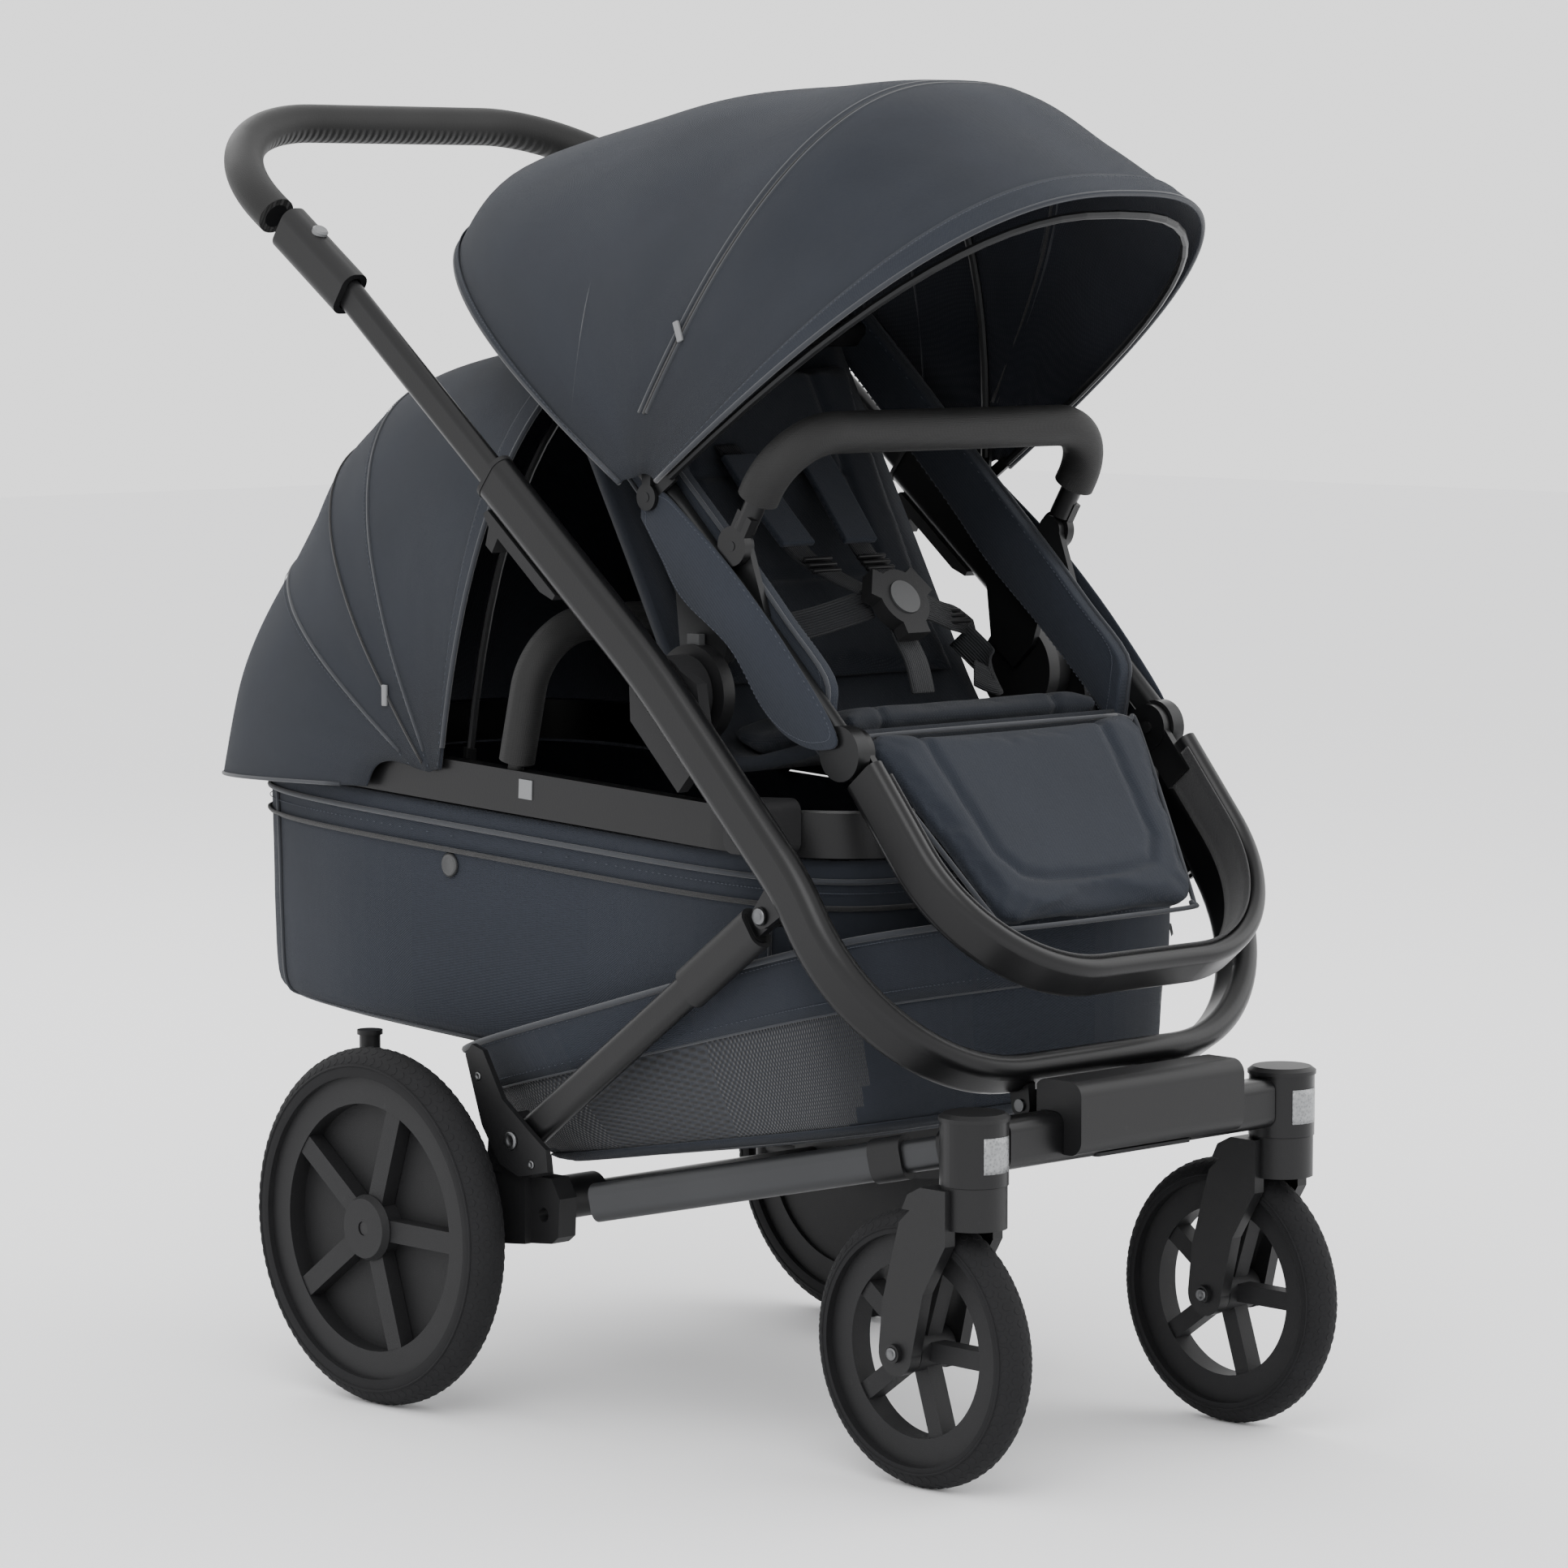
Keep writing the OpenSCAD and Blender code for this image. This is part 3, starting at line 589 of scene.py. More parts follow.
def cord_mesh(bm, points, radius, sides=8, oval=1.0):
    """Round cord through the points, closed at both ends"""
    rows = frames_along(points)
    before = set(bm.edges)

    def place(u, v):
        point, side, up = rows[round(v * (len(rows) - 1))]
        angle = 2 * math.pi * u
        return point + (side * math.cos(angle) + up * math.sin(angle) * oval) * radius
    sheet_mesh(bm, sides, len(rows) - 1, place, (2 * math.pi * radius, 1.0), closed=True)
    ends = [e for e in bm.edges if e not in before and e.is_boundary]
    bmesh.ops.holes_fill(bm, edges=ends, sides=sides)
    bmesh.ops.recalc_face_normals(bm, faces=[f for f in bm.faces])
    return bm


def ribbon(bm, path, side, width, steps, across=4):
    """Flat band along a path; side gives its sideways direction"""
    length = sum((Vector(path((i + 1) / steps)) - Vector(path(i / steps))).length for i in range(steps))

    def place(u, v):
        return Vector(path(v)) + Vector(side(v)) * (u - 0.5) * width
    sheet_mesh(bm, across, steps, place, (width, length))
    return bm


def stitches(bm, path, count, length=0.0032, radius=0.0004, lift=0.0):
    """Row of thread stitches along a path of (point, outward) pairs"""
    for i in range(count):
        point, out = path((i + 0.5) / count)
        ahead = path(min(1.0, (i + 0.6) / count))[0] - point
        if ahead.length < 1e-7:
            continue
        along = ahead.normalized()
        out = Vector(out).normalized()
        side = along.cross(out).normalized()
        turn = Matrix((along, side, side.cross(along) * -1)).transposed().to_4x4()
        turn.translation = Vector(point) + out * lift
        size = Matrix.Diagonal((length / 2, radius * 1.3, radius, 1.0))
        bmesh.ops.create_icosphere(bm, subdivisions=1, radius=1.0, matrix=turn @ size)


def bolt(bm, centre, axis, radius, depth, socket=0.0):
    """Button head, with a sunk round socket when a socket size is given, facing along its axis"""
    turn = Vector((0, 0, 1)).rotation_difference(Vector(axis)).to_matrix().to_4x4()
    turn.translation = Vector(centre)
    made = bmesh.ops.create_cone(
        bm, cap_ends=True, segments=24, radius1=radius, radius2=radius * 0.72, depth=depth,
        matrix=turn @ Matrix.Translation((0, 0, depth / 2)))
    if socket:
        top = max((f for f in bm.faces if all(v in made["verts"] for v in f.verts) and len(f.verts) > 4),
                  key=lambda f: f.calc_center_median().dot(Vector(axis)))
        bmesh.ops.inset_region(bm, faces=[top], thickness=radius * 0.72 - socket)
        bmesh.ops.translate(bm, verts=top.verts, vec=-Vector(axis) * depth * 0.6)


def slab(bm, corners, push):
    """Flat outline with a thickness"""
    face = bm.faces.new([bm.verts.new(corner) for corner in corners])
    made = bmesh.ops.extrude_face_region(bm, geom=[face], use_keep_orig=True)
    moved = [g for g in made["geom"] if isinstance(g, bmesh.types.BMVert)]
    bmesh.ops.translate(bm, verts=moved, vec=push)
    bmesh.ops.recalc_face_normals(bm, faces=bm.faces)


def block(bm, place, size, edge):
    """Small block with rounded edges"""
    made = bmesh.ops.create_cube(bm, size=1.0, matrix=place @ Matrix.Diagonal((*size, 1)))
    edges = list({e for v in made["verts"] for e in v.link_edges})
    bmesh.ops.bevel(bm, geom=edges, offset=edge, segments=2, profile=0.5, material=-1, affect="EDGES")


def fill_pad(made, voxel=0.005, cap=0.012, shrink=1.0):
    """Swells a closed shape like filled cloth and keeps the result"""
    remesh = made.modifiers.new("even", "REMESH")
    remesh.mode = "VOXEL"
    remesh.voxel_size = voxel
    apply_all(made)
    rest = [v.co.copy() for v in made.data.vertices]
    skin = made.modifiers.new("fill", "CLOTH")
    skin.settings.quality = 5
    skin.settings.use_pressure = True
    skin.settings.uniform_pressure_force = cloth().pressure * shrink
    skin.settings.effector_weights.gravity = 0
    skin.settings.tension_stiffness = 18
    skin.settings.compression_stiffness = 18
    skin.settings.shear_stiffness = 8
    skin.point_cache.frame_start = 1
    skin.point_cache.frame_end = 20
    scene = bpy.context.scene
    for step in range(1, 21):
        scene.frame_set(step)
    apply_all(made)
    scene.frame_set(1)
    for vert, start in zip(made.data.vertices, rest):
        move = vert.co - start
        if move.length > cap:
            vert.co = start + move.normalized() * cap
    made.data.update()


def press(made, depth_at):
    """Moves each vertex against its normal by depth_at(place), as a sewn channel does"""
    normals = [v.normal.copy() for v in made.data.vertices]
    for vert, normal in zip(made.data.vertices, normals):
        vert.co -= normal * depth_at(vert.co, normal)
    made.data.update()


def groove(distance, width, depth):
    return depth * math.exp(-(distance / width) ** 2)


def to_segment(point, a, b):
    along = b - a
    f = max(0.0, min(1.0, (point - a).dot(along) / along.length_squared))
    return (point - a - along * f).length


# ---------- canopies ----------

class Hood:
    """A canopy of arches that fan out from one pivot line; tops are [y, z, half width, exponent]"""

    def __init__(self, base, tops, first=1.2):
        self.base = base
        self.row = curve_through(tops)
        self.first = first
        self.angles = [self.heading(k / 60) for k in range(61)]

    def heading(self, v):
        y, z = self.row(v)[:2]
        return math.atan2(z - self.base[1], y - self.base[0])

    def at(self, u, v, lift=0.0):
        y, z, w, n = self.row(v)
        t = math.radians(self.first + u * (180 - 2 * self.first))
        rise = power(math.sin(t), 2 / n)
        radius = math.hypot(y - self.base[0], z - self.base[1])
        grow = 1 + lift / radius
        return spot(
            -(w + lift) * power(math.cos(t), 2 / n),
            self.base[0] + (y - self.base[0]) * rise * grow,
            self.base[1] + (z - self.base[1]) * rise * grow)

    def along_for(self, angle):
        for k in range(60):
            a, b = self.angles[k], self.angles[k + 1]
            if (a - angle) * (b - angle) <= 0 and a != b:
                return (k + (angle - a) / (b - a)) / 60
        return 0.0 if abs(self.angles[0] - angle) < abs(self.angles[60] - angle) else 1.0

    def seam(self, foot, top, lift, count=70, start=0.03, end=0.97):
        """Line over the cloth in the plane that rises from a foot to a top, both (y, z) in millimetres"""
        places = []
        for i in range(count + 1):
            u = start + (end - start) * i / count
            rise = power(math.sin(math.pi * u), 2 / 2.7)
            y = foot[0] + (top[0] - foot[0]) * rise
            z = foot[1] + (top[1] - foot[1]) * rise
            v = self.along_for(math.atan2(z - self.base[1], y - self.base[0]))
            row = self.row(v)
            reach = math.hypot(row[0] - self.base[0], row[1] - self.base[1])
            part = min(1.0, math.hypot(y - self.base[0], z - self.base[1]) / reach)
            by_height = math.asin(min(1.0, part ** (row[3] / 2)))
            side = min(1.0, abs(math.cos(math.pi * u)) ** (2 / 2.7))
            by_width = math.acos(min(1.0, side ** (row[3] / 2)))
            share = min(1.0, max(0.0, (part - 0.55) / 0.3))
            t = by_height * (1 - share) + by_width * share
            if u > 0.5:
                t = math.pi - t
            across = (math.degrees(t) - self.first) / (180 - 2 * self.first)
            places.append(self.at(min(1.0, max(0.0, across)), v, lift))
        return places

    def edge(self, v, lift, count=70):
        return [self.at(i / count, v, lift) for i in range(count + 1)]


MAIN_HOOD = Hood((-48, 764), [
    (-396, 1006, 204, 2.7), (-310, 1056, 204, 2.7), (-212, 1096, 204, 2.7), (-90, 1098, 205, 2.7),
    (60, 1082, 206, 2.6), (250, 1042, 208, 2.6), (308, 985, 209, 2.6)])

COT_HOOD = Hood((190, 512), [
    (132, 892, 216, 2.5), (250, 886, 216, 2.5), (372, 858, 216, 2.5), (452, 800, 217, 2.6),
    (500, 700, 218, 3.2),
    (532, 596, 220, 5), (548, 500, 220, 5.6)])


def taut(hood, ribs, sink):
    """The cloth sinks a little between its bows"""
    def place(u, v):
        gap = min(abs(v - r) for r in ribs)
        wide = 0.09
        dip = sink * (1 - math.exp(-(gap / wide) ** 2)) * math.sin(math.pi * u) ** 0.7
        wave = 0.35 * math.sin(u * 61 + v * 9) * math.sin(v * 23 + u * 4)
        return hood.at(u, v, -dip + wave * math.sin(math.pi * min(1, max(0, v))))
    return place


def hood_cloth(name, hood, ribs, sink, body, replaced, flat):
    bm = bmesh.new()
    sheet_mesh(bm, 132, 64, taut(hood, ribs, sink), flat)
    turn_out(bm, spot(0, *hood.base))
    made = piece(name, bm, [canopy_cloth(), lining_painted_shade()], body)
    thicken(made, cloth().wall, painted_shade_lining=True)
    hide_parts(replaced)
    return made


def hem_band(bm, hood, v0, v1, lift, ribs, sink):
    """Doubled cloth along an edge"""
    ground = taut(hood, ribs, sink)

    def place(u, v):
        along = v0 + (v1 - v0) * v
        low = ground(u, along)
        high = hood.at(u, along, 10.0)
        return low + (high - hood.at(u, along)).normalized() * lift
    sheet_mesh(bm, 132, 5, place, (0.9, 0.02))


def hood_stitches(bm, hood, ground, v, count, lift):
    """Row of stitches that follows the cloth from side to side"""
    steps = 200
    line = [ground(i / steps, v) for i in range(steps + 1)]
    above = [hood.at(i / steps, v, 10.0) - hood.at(i / steps, v) for i in range(steps + 1)]

    def path(f):
        k = f * steps
        i = min(int(k), steps - 1)
        return line[i].lerp(line[i + 1], k - i), above[i]
    stitches(bm, path, count, lift=lift)


class STROLLER_OT_seat_canopy(bpy.types.Operator):
    """Make the seat's canopy with its hems, zip and piping"""
    bl_idname = "stroller.seat_canopy"
    bl_label = "Seat Canopy"

    ribs = (0.0, 0.33, 0.62, 1.0)
    sink = 4.0

    def trim(self, made):
        hood = MAIN_HOOD
        fold = ("canopy_front", spot(0, -30, 1000), spot(0, -330, 1000))
        bm = bmesh.new()
        ground = taut(hood, self.ribs, self.sink)
        for v in (0.004, 0.996):
            cord_mesh(bm, [ground(i / 110, v) for i in range(111)], cloth().piping * 1.25)
        cord_mesh(bm, hood.seam((36, 759), (24, 1081), -2.6), cloth().piping * 0.8)
        for offset in (-5.5, 5.5):
            cord_mesh(bm, hood.seam((-18 + offset * 0.7, 776), (-212 + offset, 1100), -1.2), cloth().piping)
        piping = piece("canopy_piping", bm, [piping_cloth()], None)

        bm = bmesh.new()
        hem_band(bm, hood, 0.0, 0.062, 0.0011, self.ribs, self.sink)
        hem_band(bm, hood, 0.962, 1.0, 0.0011, self.ribs, self.sink)
        turn_out(bm, spot(0, *hood.base))
        hems = piece("canopy_hems", bm, [canopy_cloth()], None)
        thicken(hems, 0.0008, offset=1.0)
        apply_all(hems)

        bm = bmesh.new()
        for v in (0.056, 0.966):
            hood_stitches(bm, hood, ground, v, 230, 0.0020)
        rows = piece("canopy_stitches", bm, [thread_cotton()], None)

        bm = bmesh.new()
        zip_line = hood.seam((-18, 776), (-212, 1100), -1.6, count=150)
        cord_mesh(bm, zip_line, 0.0034, oval=0.35)
        tape = piece("canopy_zip", bm, [felt()], None)

        bm = bmesh.new()
        for side in (-1, 1):
            at = zip_line[9] if side < 0 else zip_line[-10]
            turn = Matrix.Rotation(math.radians(-20), 4, "X")
            turn.translation = at + Vector((side * 0.0035, 0.001, 0.0))
            block(bm, turn, (0.003, 0.006, 0.017), 0.0009)
        pulls = piece("canopy_zip_pulls", bm, [grey_plastic()], "seat")
        for part in (made, piping, hems, rows, tape):
            apply_all(part)
            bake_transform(part)
        return [piping, hems, rows, tape, pulls]

    def execute(self, context):
        made = hood_cloth("canopy", MAIN_HOOD, self.ribs, self.sink, None, "canopy_fabric", (0.95, 0.80))
        with_it = self.trim(made)
        return {"FINISHED"}


class STROLLER_OT_cot_canopy(bpy.types.Operator):
    """Make the carrycot's canopy with its rim, seams and zip"""
    bl_idname = "stroller.cot_canopy"
    bl_label = "Carrycot Canopy"

    ribs = (0.0, 0.36, 0.5, 0.66, 1.0)
    sink = 3.0

    def execute(self, context):
        hood = COT_HOOD
        ground = taut(hood, self.ribs, self.sink)
        made = hood_cloth("cot_hood", hood, self.ribs, self.sink, None, "cot_canopy", (0.95, 0.80))
        bm = bmesh.new()
        for v in (0.004, 0.36, 0.66, 0.994):
            cord_mesh(bm, [ground(0.01 + 0.98 * i / 110, v) for i in range(111)],
                      cloth().piping * (1.2 if v < 0.1 else 0.85))
        piping = piece("cot_hood_piping", bm, [piping_cloth()], None)
        bm = bmesh.new()
        hem_band(bm, hood, 0.0, 0.05, 0.0011, self.ribs, self.sink)
        turn_out(bm, spot(0, *hood.base))
        hems = piece("cot_hood_hem", bm, [canopy_cloth()], None)
        thicken(hems, 0.0008, offset=1.0)
        bm = bmesh.new()
        for v in (0.046, 0.37, 0.67):
            hood_stitches(bm, hood, ground, v, 200, 0.0012 + (0.0008 if v < 0.1 else 0))
        rows = piece("cot_hood_stitches", bm, [thread_cotton()], None)
        bm = bmesh.new()
        zip_line = [ground(0.004 + 0.45 * i / 60, 0.50) for i in range(61)]
        cord_mesh(bm, zip_line, 0.0028, oval=0.4)
        tape = piece("cot_hood_zip", bm, [felt()], None)
        bm = bmesh.new()
        at = ground(0.05, 0.50)
        block(bm, Matrix.Translation(at + Vector((-0.002, 0, 0))), (0.003, 0.006, 0.018), 0.0009)
        pull = piece("cot_hood_zip_pull", bm, [grey_plastic()], "cot")
        for part in (made, piping, hems, rows, tape):
            apply_all(part)
            spot(0, 560, 560)
            spot(0, 132, 892)
            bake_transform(part)
        return {"FINISHED"}


# ---------- seat ----------

def outline_panel(bm, outline, x0, x1):
    """Flat panel of a (y, z) outline, as thick as x0 to x1"""
    slab(bm, [spot(x0, y, z) for y, z in outline], ((x1 - x0) / 1000, 0, 0))


def rounded(points, count=60):
    path = curve_through(list(points) + [points[0]])
    return [path(i / count) for i in range(count)]


SIDE_OUTLINE = [
    (-228, 566), (-196, 599), (-142, 648), (-85, 696), (-34, 748), (40, 818), (106, 880), (110, 899),
    (92, 914),
    (70, 905), (-40, 806), (-144, 712), (-190, 668), (-232, 628), (-234, 600)]


SLEEVE_OUTLINE = [
    (-37, 747), (-60, 716), (-85, 684), (-142, 646), (-180, 600), (-212, 578), (-246, 572), (-262, 586),
    (-205, 652), (-142, 711), (-88, 752), (-60, 770), (-40, 768)]


class STROLLER_OT_seat_cover(bpy.types.Operator):
    """Make the seat's padded side wings and its backrest and floor"""
    bl_idname = "stroller.seat_cover"
    bl_label = "Seat Cover"

    def sleeves(self):
        """Cloth drawn over the outside of the seat frame, with a turned edge"""
        outline = rounded(SLEEVE_OUTLINE, 72)
        bm = bmesh.new()
        for side in (-1, 1):
            outline_panel(bm, outline, side * 190.3, side * 192.9)
        made = piece("seat_sleeves", bm, [pad_cloth()], "seat")
        round_edges(made, 0.0011, 3, 50)
        bm = bmesh.new()
        inner = [(y + (-140 - y) * 0.06, z + (668 - z) * 0.06) for y, z in outline]
        along = curve_through(inner + inner[:1])
        for side in (-1, 1):
            def path(f, side=side):
                return spot(side * 192.9, *along(f)), Vector((side, 0, 0))
            stitches(bm, path, 150)
        piece("sleeve_stitches", bm, [thread_cotton()], "seat")

    def execute(self, context):
        outline = rounded(SIDE_OUTLINE)
        bm = bmesh.new()
        for side in (-1, 1):
            outline_panel(bm, outline, side * 162, side * 174)
        wings = piece("seat_wings", bm, [pad_cloth()], "seat")
        round_edges(wings, 0.004, 3, 50)

        bm = bmesh.new()
        floor = curve_through([(-233, 572), (-180, 556), (-122, 545), (-84, 556), (-54, 590), (10, 704),
                               (60, 792),
                               (106, 876), (104, 900), (86, 908)])
        steps = 64

        def place(u, v):
            y, z = floor(v)
            return spot(-162.5 + 325 * u, y, z)
        sheet_mesh(bm, 24, steps, place, (0.325, 0.48))
        turn_out(bm, spot(0, -120, 760))
        bmesh.ops.reverse_faces(bm, faces=bm.faces)
        back = piece("seat_back", bm, [seat_cloth_painted_shade()], "seat")
        thicken(back, 0.012, offset=1.0)

        bm = bmesh.new()
        for side in (-1, 1):
            closed = outline + outline[:1]
            cord_mesh(bm, [spot(side * 174.4, y, z) for y, z in closed], cloth().piping)
        piece("seat_piping", bm, [piping_cloth()], "seat")

        bm = bmesh.new()
        inner = rounded([(y + (-74 - y) * 0.055, z + (735 - z) * 0.055) for y, z in SIDE_OUTLINE])
        count = len(inner)
        for side in (-1, 1):
            for x in (174.2, 161.8):
                def path(f, side=side, x=x):
                    k = f * (count - 1)
                    i = min(int(k), count - 2)
                    y = inner[i][0] + (inner[i + 1][0] - inner[i][0]) * (k - i)
                    z = inner[i][1] + (inner[i + 1][1] - inner[i][1]) * (k - i)
                    return spot(side * x, y, z), Vector((side * (1 if x > 170 else -1), 0, 0))
                stitches(bm, path, 190)
        piece("seat_stitches", bm, [thread_cotton()], "seat")
        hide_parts("seat_shell")
        self.sleeves()
        return {"FINISHED"}


class STROLLER_OT_seat_pads(bpy.types.Operator):
    """Make the filled back pad and cushion"""
    bl_idname = "stroller.seat_pads"
    bl_label = "Seat Pads"

    def pad(self, name, outline, half, cap):
        bm = bmesh.new()
        outline_panel(bm, outline, -half, half)
        made = piece(name, bm, [seat_cloth_painted_shade()], "seat")
        round_edges(made, 0.006, 3, 40)
        fill_pad(made, 0.005, cap)
        return made

    def execute(self, context):
        back = self.pad("back_pad", [(-72, 602), (-58, 604), (88, 856), (78, 868), (64, 862)], 144, 0.007)
        seat = self.pad("seat_cushion", [(-230, 584), (-124, 560), (-92, 570), (-90, 581), (-120, 577),
                                         (-230, 597)],
                        149, 0.006)
        lengthwise = (spot(0, 76, 862) - spot(0, -65, 602)).normalized()

        def quilting(co, normal):
            up = (co - spot(0, -65, 602)).dot(lengthwise)
            side = abs(co.x)
            rows = min(abs(up - 0.095), abs(up - 0.19))
            channel = groove(abs(side - 0.088), 0.0035, 0.0045) * (1 if up > 0.05 else 0)
            return channel + groove(rows, 0.0035, 0.0035) * (1 if side < 0.088 else 0)
        press(back, quilting)

        def channels(co, normal):
            side = abs(co.x)
            return groove(abs(side - 0.100), 0.0035, 0.004) + 0.0035 * math.exp(
                -((co.y - spot(0, -165, 0).y) / 0.0035) ** 2) * (1 if side < 0.1 else 0)
        press(seat, channels)
        for made in (back, seat):
            soften(made)
        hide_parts("seat_pad")
        return {"FINISHED"}


class STROLLER_OT_calf_pad(bpy.types.Operator):
    """Make the quilted pad of the calf rest with its sewn channel"""
    bl_idname = "stroller.calf_pad"
    bl_label = "Calf Pad"

    def execute(self, context):
        tilt = math.radians(52)
        origin = Vector((0, -259, 592))

        def local(x, y, z):
            return spot(x, origin.y + y * math.cos(tilt) - z * math.sin(tilt),
                        origin.z + y * math.sin(tilt) + z * math.cos(tilt))
        corners = [(140, -22, 17, 90), (140, -22, 17, 45), (140, -22, 17, 0), (96, -170, 21, -14),
                   (96, -170, 21, -50), (96, -170, 21, -90)]
        right = [(x + r * math.cos(math.radians(a)), y + r * math.sin(math.radians(a)))
                 for x, y, r, a in corners]
        outline = right + [(-x, y) for x, y in reversed(right)]
        bm = bmesh.new()
        slab(bm, [local(x, y, -20) for x, y in outline], local(0, 0, -4) - local(0, 0, -20))
        pad = piece("calf_cushion", bm, [pad_cloth()], "calf_rest")
        round_edges(pad, 0.005, 3, 40)
        fill_pad(pad, 0.005, 0.007)
        front = (local(0, 0, 1) - local(0, 0, 0)).normalized()
        path = [local(x, y, 0) for x, y in (
            (104, 6), (101, -40), (90, -128), (74, -150), (50, -156), (0, -158), (-50, -156), (-74, -150),
            (-90, -128),
            (-101, -40), (-104, 6))]

        def channel(co, normal):
            if normal.dot(front) < 0.3:
                return 0.0
            flat = co - front * (co - path[5]).dot(front)
            near = min(to_segment(flat, a, b) for a, b in zip(path, path[1:]))
            return groove(near, 0.0042, 0.0052)
        press(pad, channel)
        soften(pad)
        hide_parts("calf_pad")

        bm = bmesh.new()
        ring = curve_through([(x, y) for x, y in outline] + [outline[0]])
        cord_mesh(bm, [local(ring(i / 120)[0], ring(i / 120)[1], -12) for i in range(121)],
                  cloth().piping * 1.1)
        piece("calf_piping", bm, [piping_cloth()], "calf_rest")
        return {"FINISHED"}


class STROLLER_OT_harness(bpy.types.Operator):
    """Make the five-point harness: straps, shoulder pads, adjusters"""
    bl_idname = "stroller.harness"
    bl_label = "Harness"

    def execute(self, context):
        wide = cloth().webbing
        bm = bmesh.new()
        runs = []
        for s in (-1, 1):
            runs.append(([(s * 43, 22, 800), (s * 42, -14, 762), (s * 36, -60, 714), (s * 27, -96, 694),
                          (s * 19, -120, 684)],
                         (1, 0.05 * s, 0)))
            runs.append(([(s * 147, -84, 640), (s * 120, -92, 652), (s * 82, -112, 659),
                          (s * 48, -124, 668), (s * 22, -126, 674)],
                         (0.0, 0.45, 0.9)))
            runs.append(([(s * 120, -92, 640), (s * 126, -120, 616), (s * 112, -140, 604),
                          (s * 92, -136, 612)],
                         (0.0, 0.5, 0.86)))
        runs.append(([(0, -168, 602), (0, -160, 626), (0, -148, 644), (0, -140, 656)], (1, 0, 0)))
        for points, side in runs:
            path = curve_through([spot(*p) for p in points])
            across = Vector(side).normalized()

            def twist(v, path=path, across=across):
                heading = (Vector(path(min(1, v + 0.01))) - Vector(path(max(0, v - 0.01)))).normalized()
                return (across - heading * across.dot(heading)).normalized()
            ribbon(bm, path, twist, wide, 36)
        straps = piece("harness_straps", bm, [strap_webbing()], "seat")
        thicken(straps, 0.0018, offset=0.0)

        bm = bmesh.new()
        for s in (-1, 1):
            path = curve_through([spot(s * 42.5, 8, 792), spot(s * 41, -24, 756), spot(s * 36, -58, 720)])
            ribbon(bm, path, lambda v: Vector((1, 0, 0)), wide * 1.5, 30, 10)
        pads = piece("shoulder_pads", bm, [pad_cloth()], "seat")
        thicken(pads, 0.006, offset=0.0)
        round_edges(pads, 0.0025, 3, 50)

        bm = bmesh.new()
        for s in (-1, 1):
            for x, y, z, turn in ((s * 31, -80, 703, 40), (s * 98, -103, 656, 30)):
                at = Matrix.Rotation(math.radians(turn), 4, "X")
                at.translation = spot(x, y, z)
                for offset in (-0.007, 0.0, 0.007):
                    shift = Matrix.Translation((0, offset, 0.0015))
                    block(bm, at @ shift, (wide * 1.25, 0.0035, 0.0045), 0.001)
        piece("harness_slides", bm, [black_plastic()], "seat")
        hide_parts("harness")
        return {"FINISHED"}


# ---------- tubs ----------

class Tub:
    """Lofted tub of rounded rectangles; rows are [half width, half length, middle y, z, exponent, slope]"""

    def __init__(self, rows, carry=None):
        self.row = curve_through(rows)
        self.carry = carry or (lambda x, y, z: spot(x, y, z))

    def at(self, u, v, inset=0.0, lift=0.0):
        w, l, y0, z, n, slope = self.row(v)
        angle = 2 * math.pi * u
        along = (l - inset) * power(math.sin(angle), 2 / n)
        return self.carry((w - inset) * power(math.cos(angle), 2 / n), y0 + along, z + along * slope + lift)


def tub_shell(bm, tub, around, high, size, sag):
    def place(u, v):
        belly = sag(u, v)
        return tub.at(u, v, -belly)
    sheet_mesh(bm, around, high, place, size, closed=True)


BASKET = Tub([
    [150, 160, -84, 231.5, 3.2, -0.17], [173, 187, -84, 233, 4, -0.17], [184, 200, -83, 236, 4.4, -0.18],
    [194, 210, -81, 243, 5, -0.18], [204, 224, -72, 266, 5, -0.21], [211, 235, -60, 292, 5, -0.24],
    [217, 246, -50, 326, 5, -0.27], [221, 255, -40, 356, 5, -0.29]])


def tub_floor(bm, tub, v, size):
    """Closes a tub's bottom with rings that shrink to its middle"""
    def place(u, f):
        rim = tub.at(u, v)
        middle = (tub.at(0.25, v) + tub.at(0.75, v)) / 2
        return middle.lerp(rim, f)
    sheet_mesh(bm, 96, 10, place, size, closed=True)


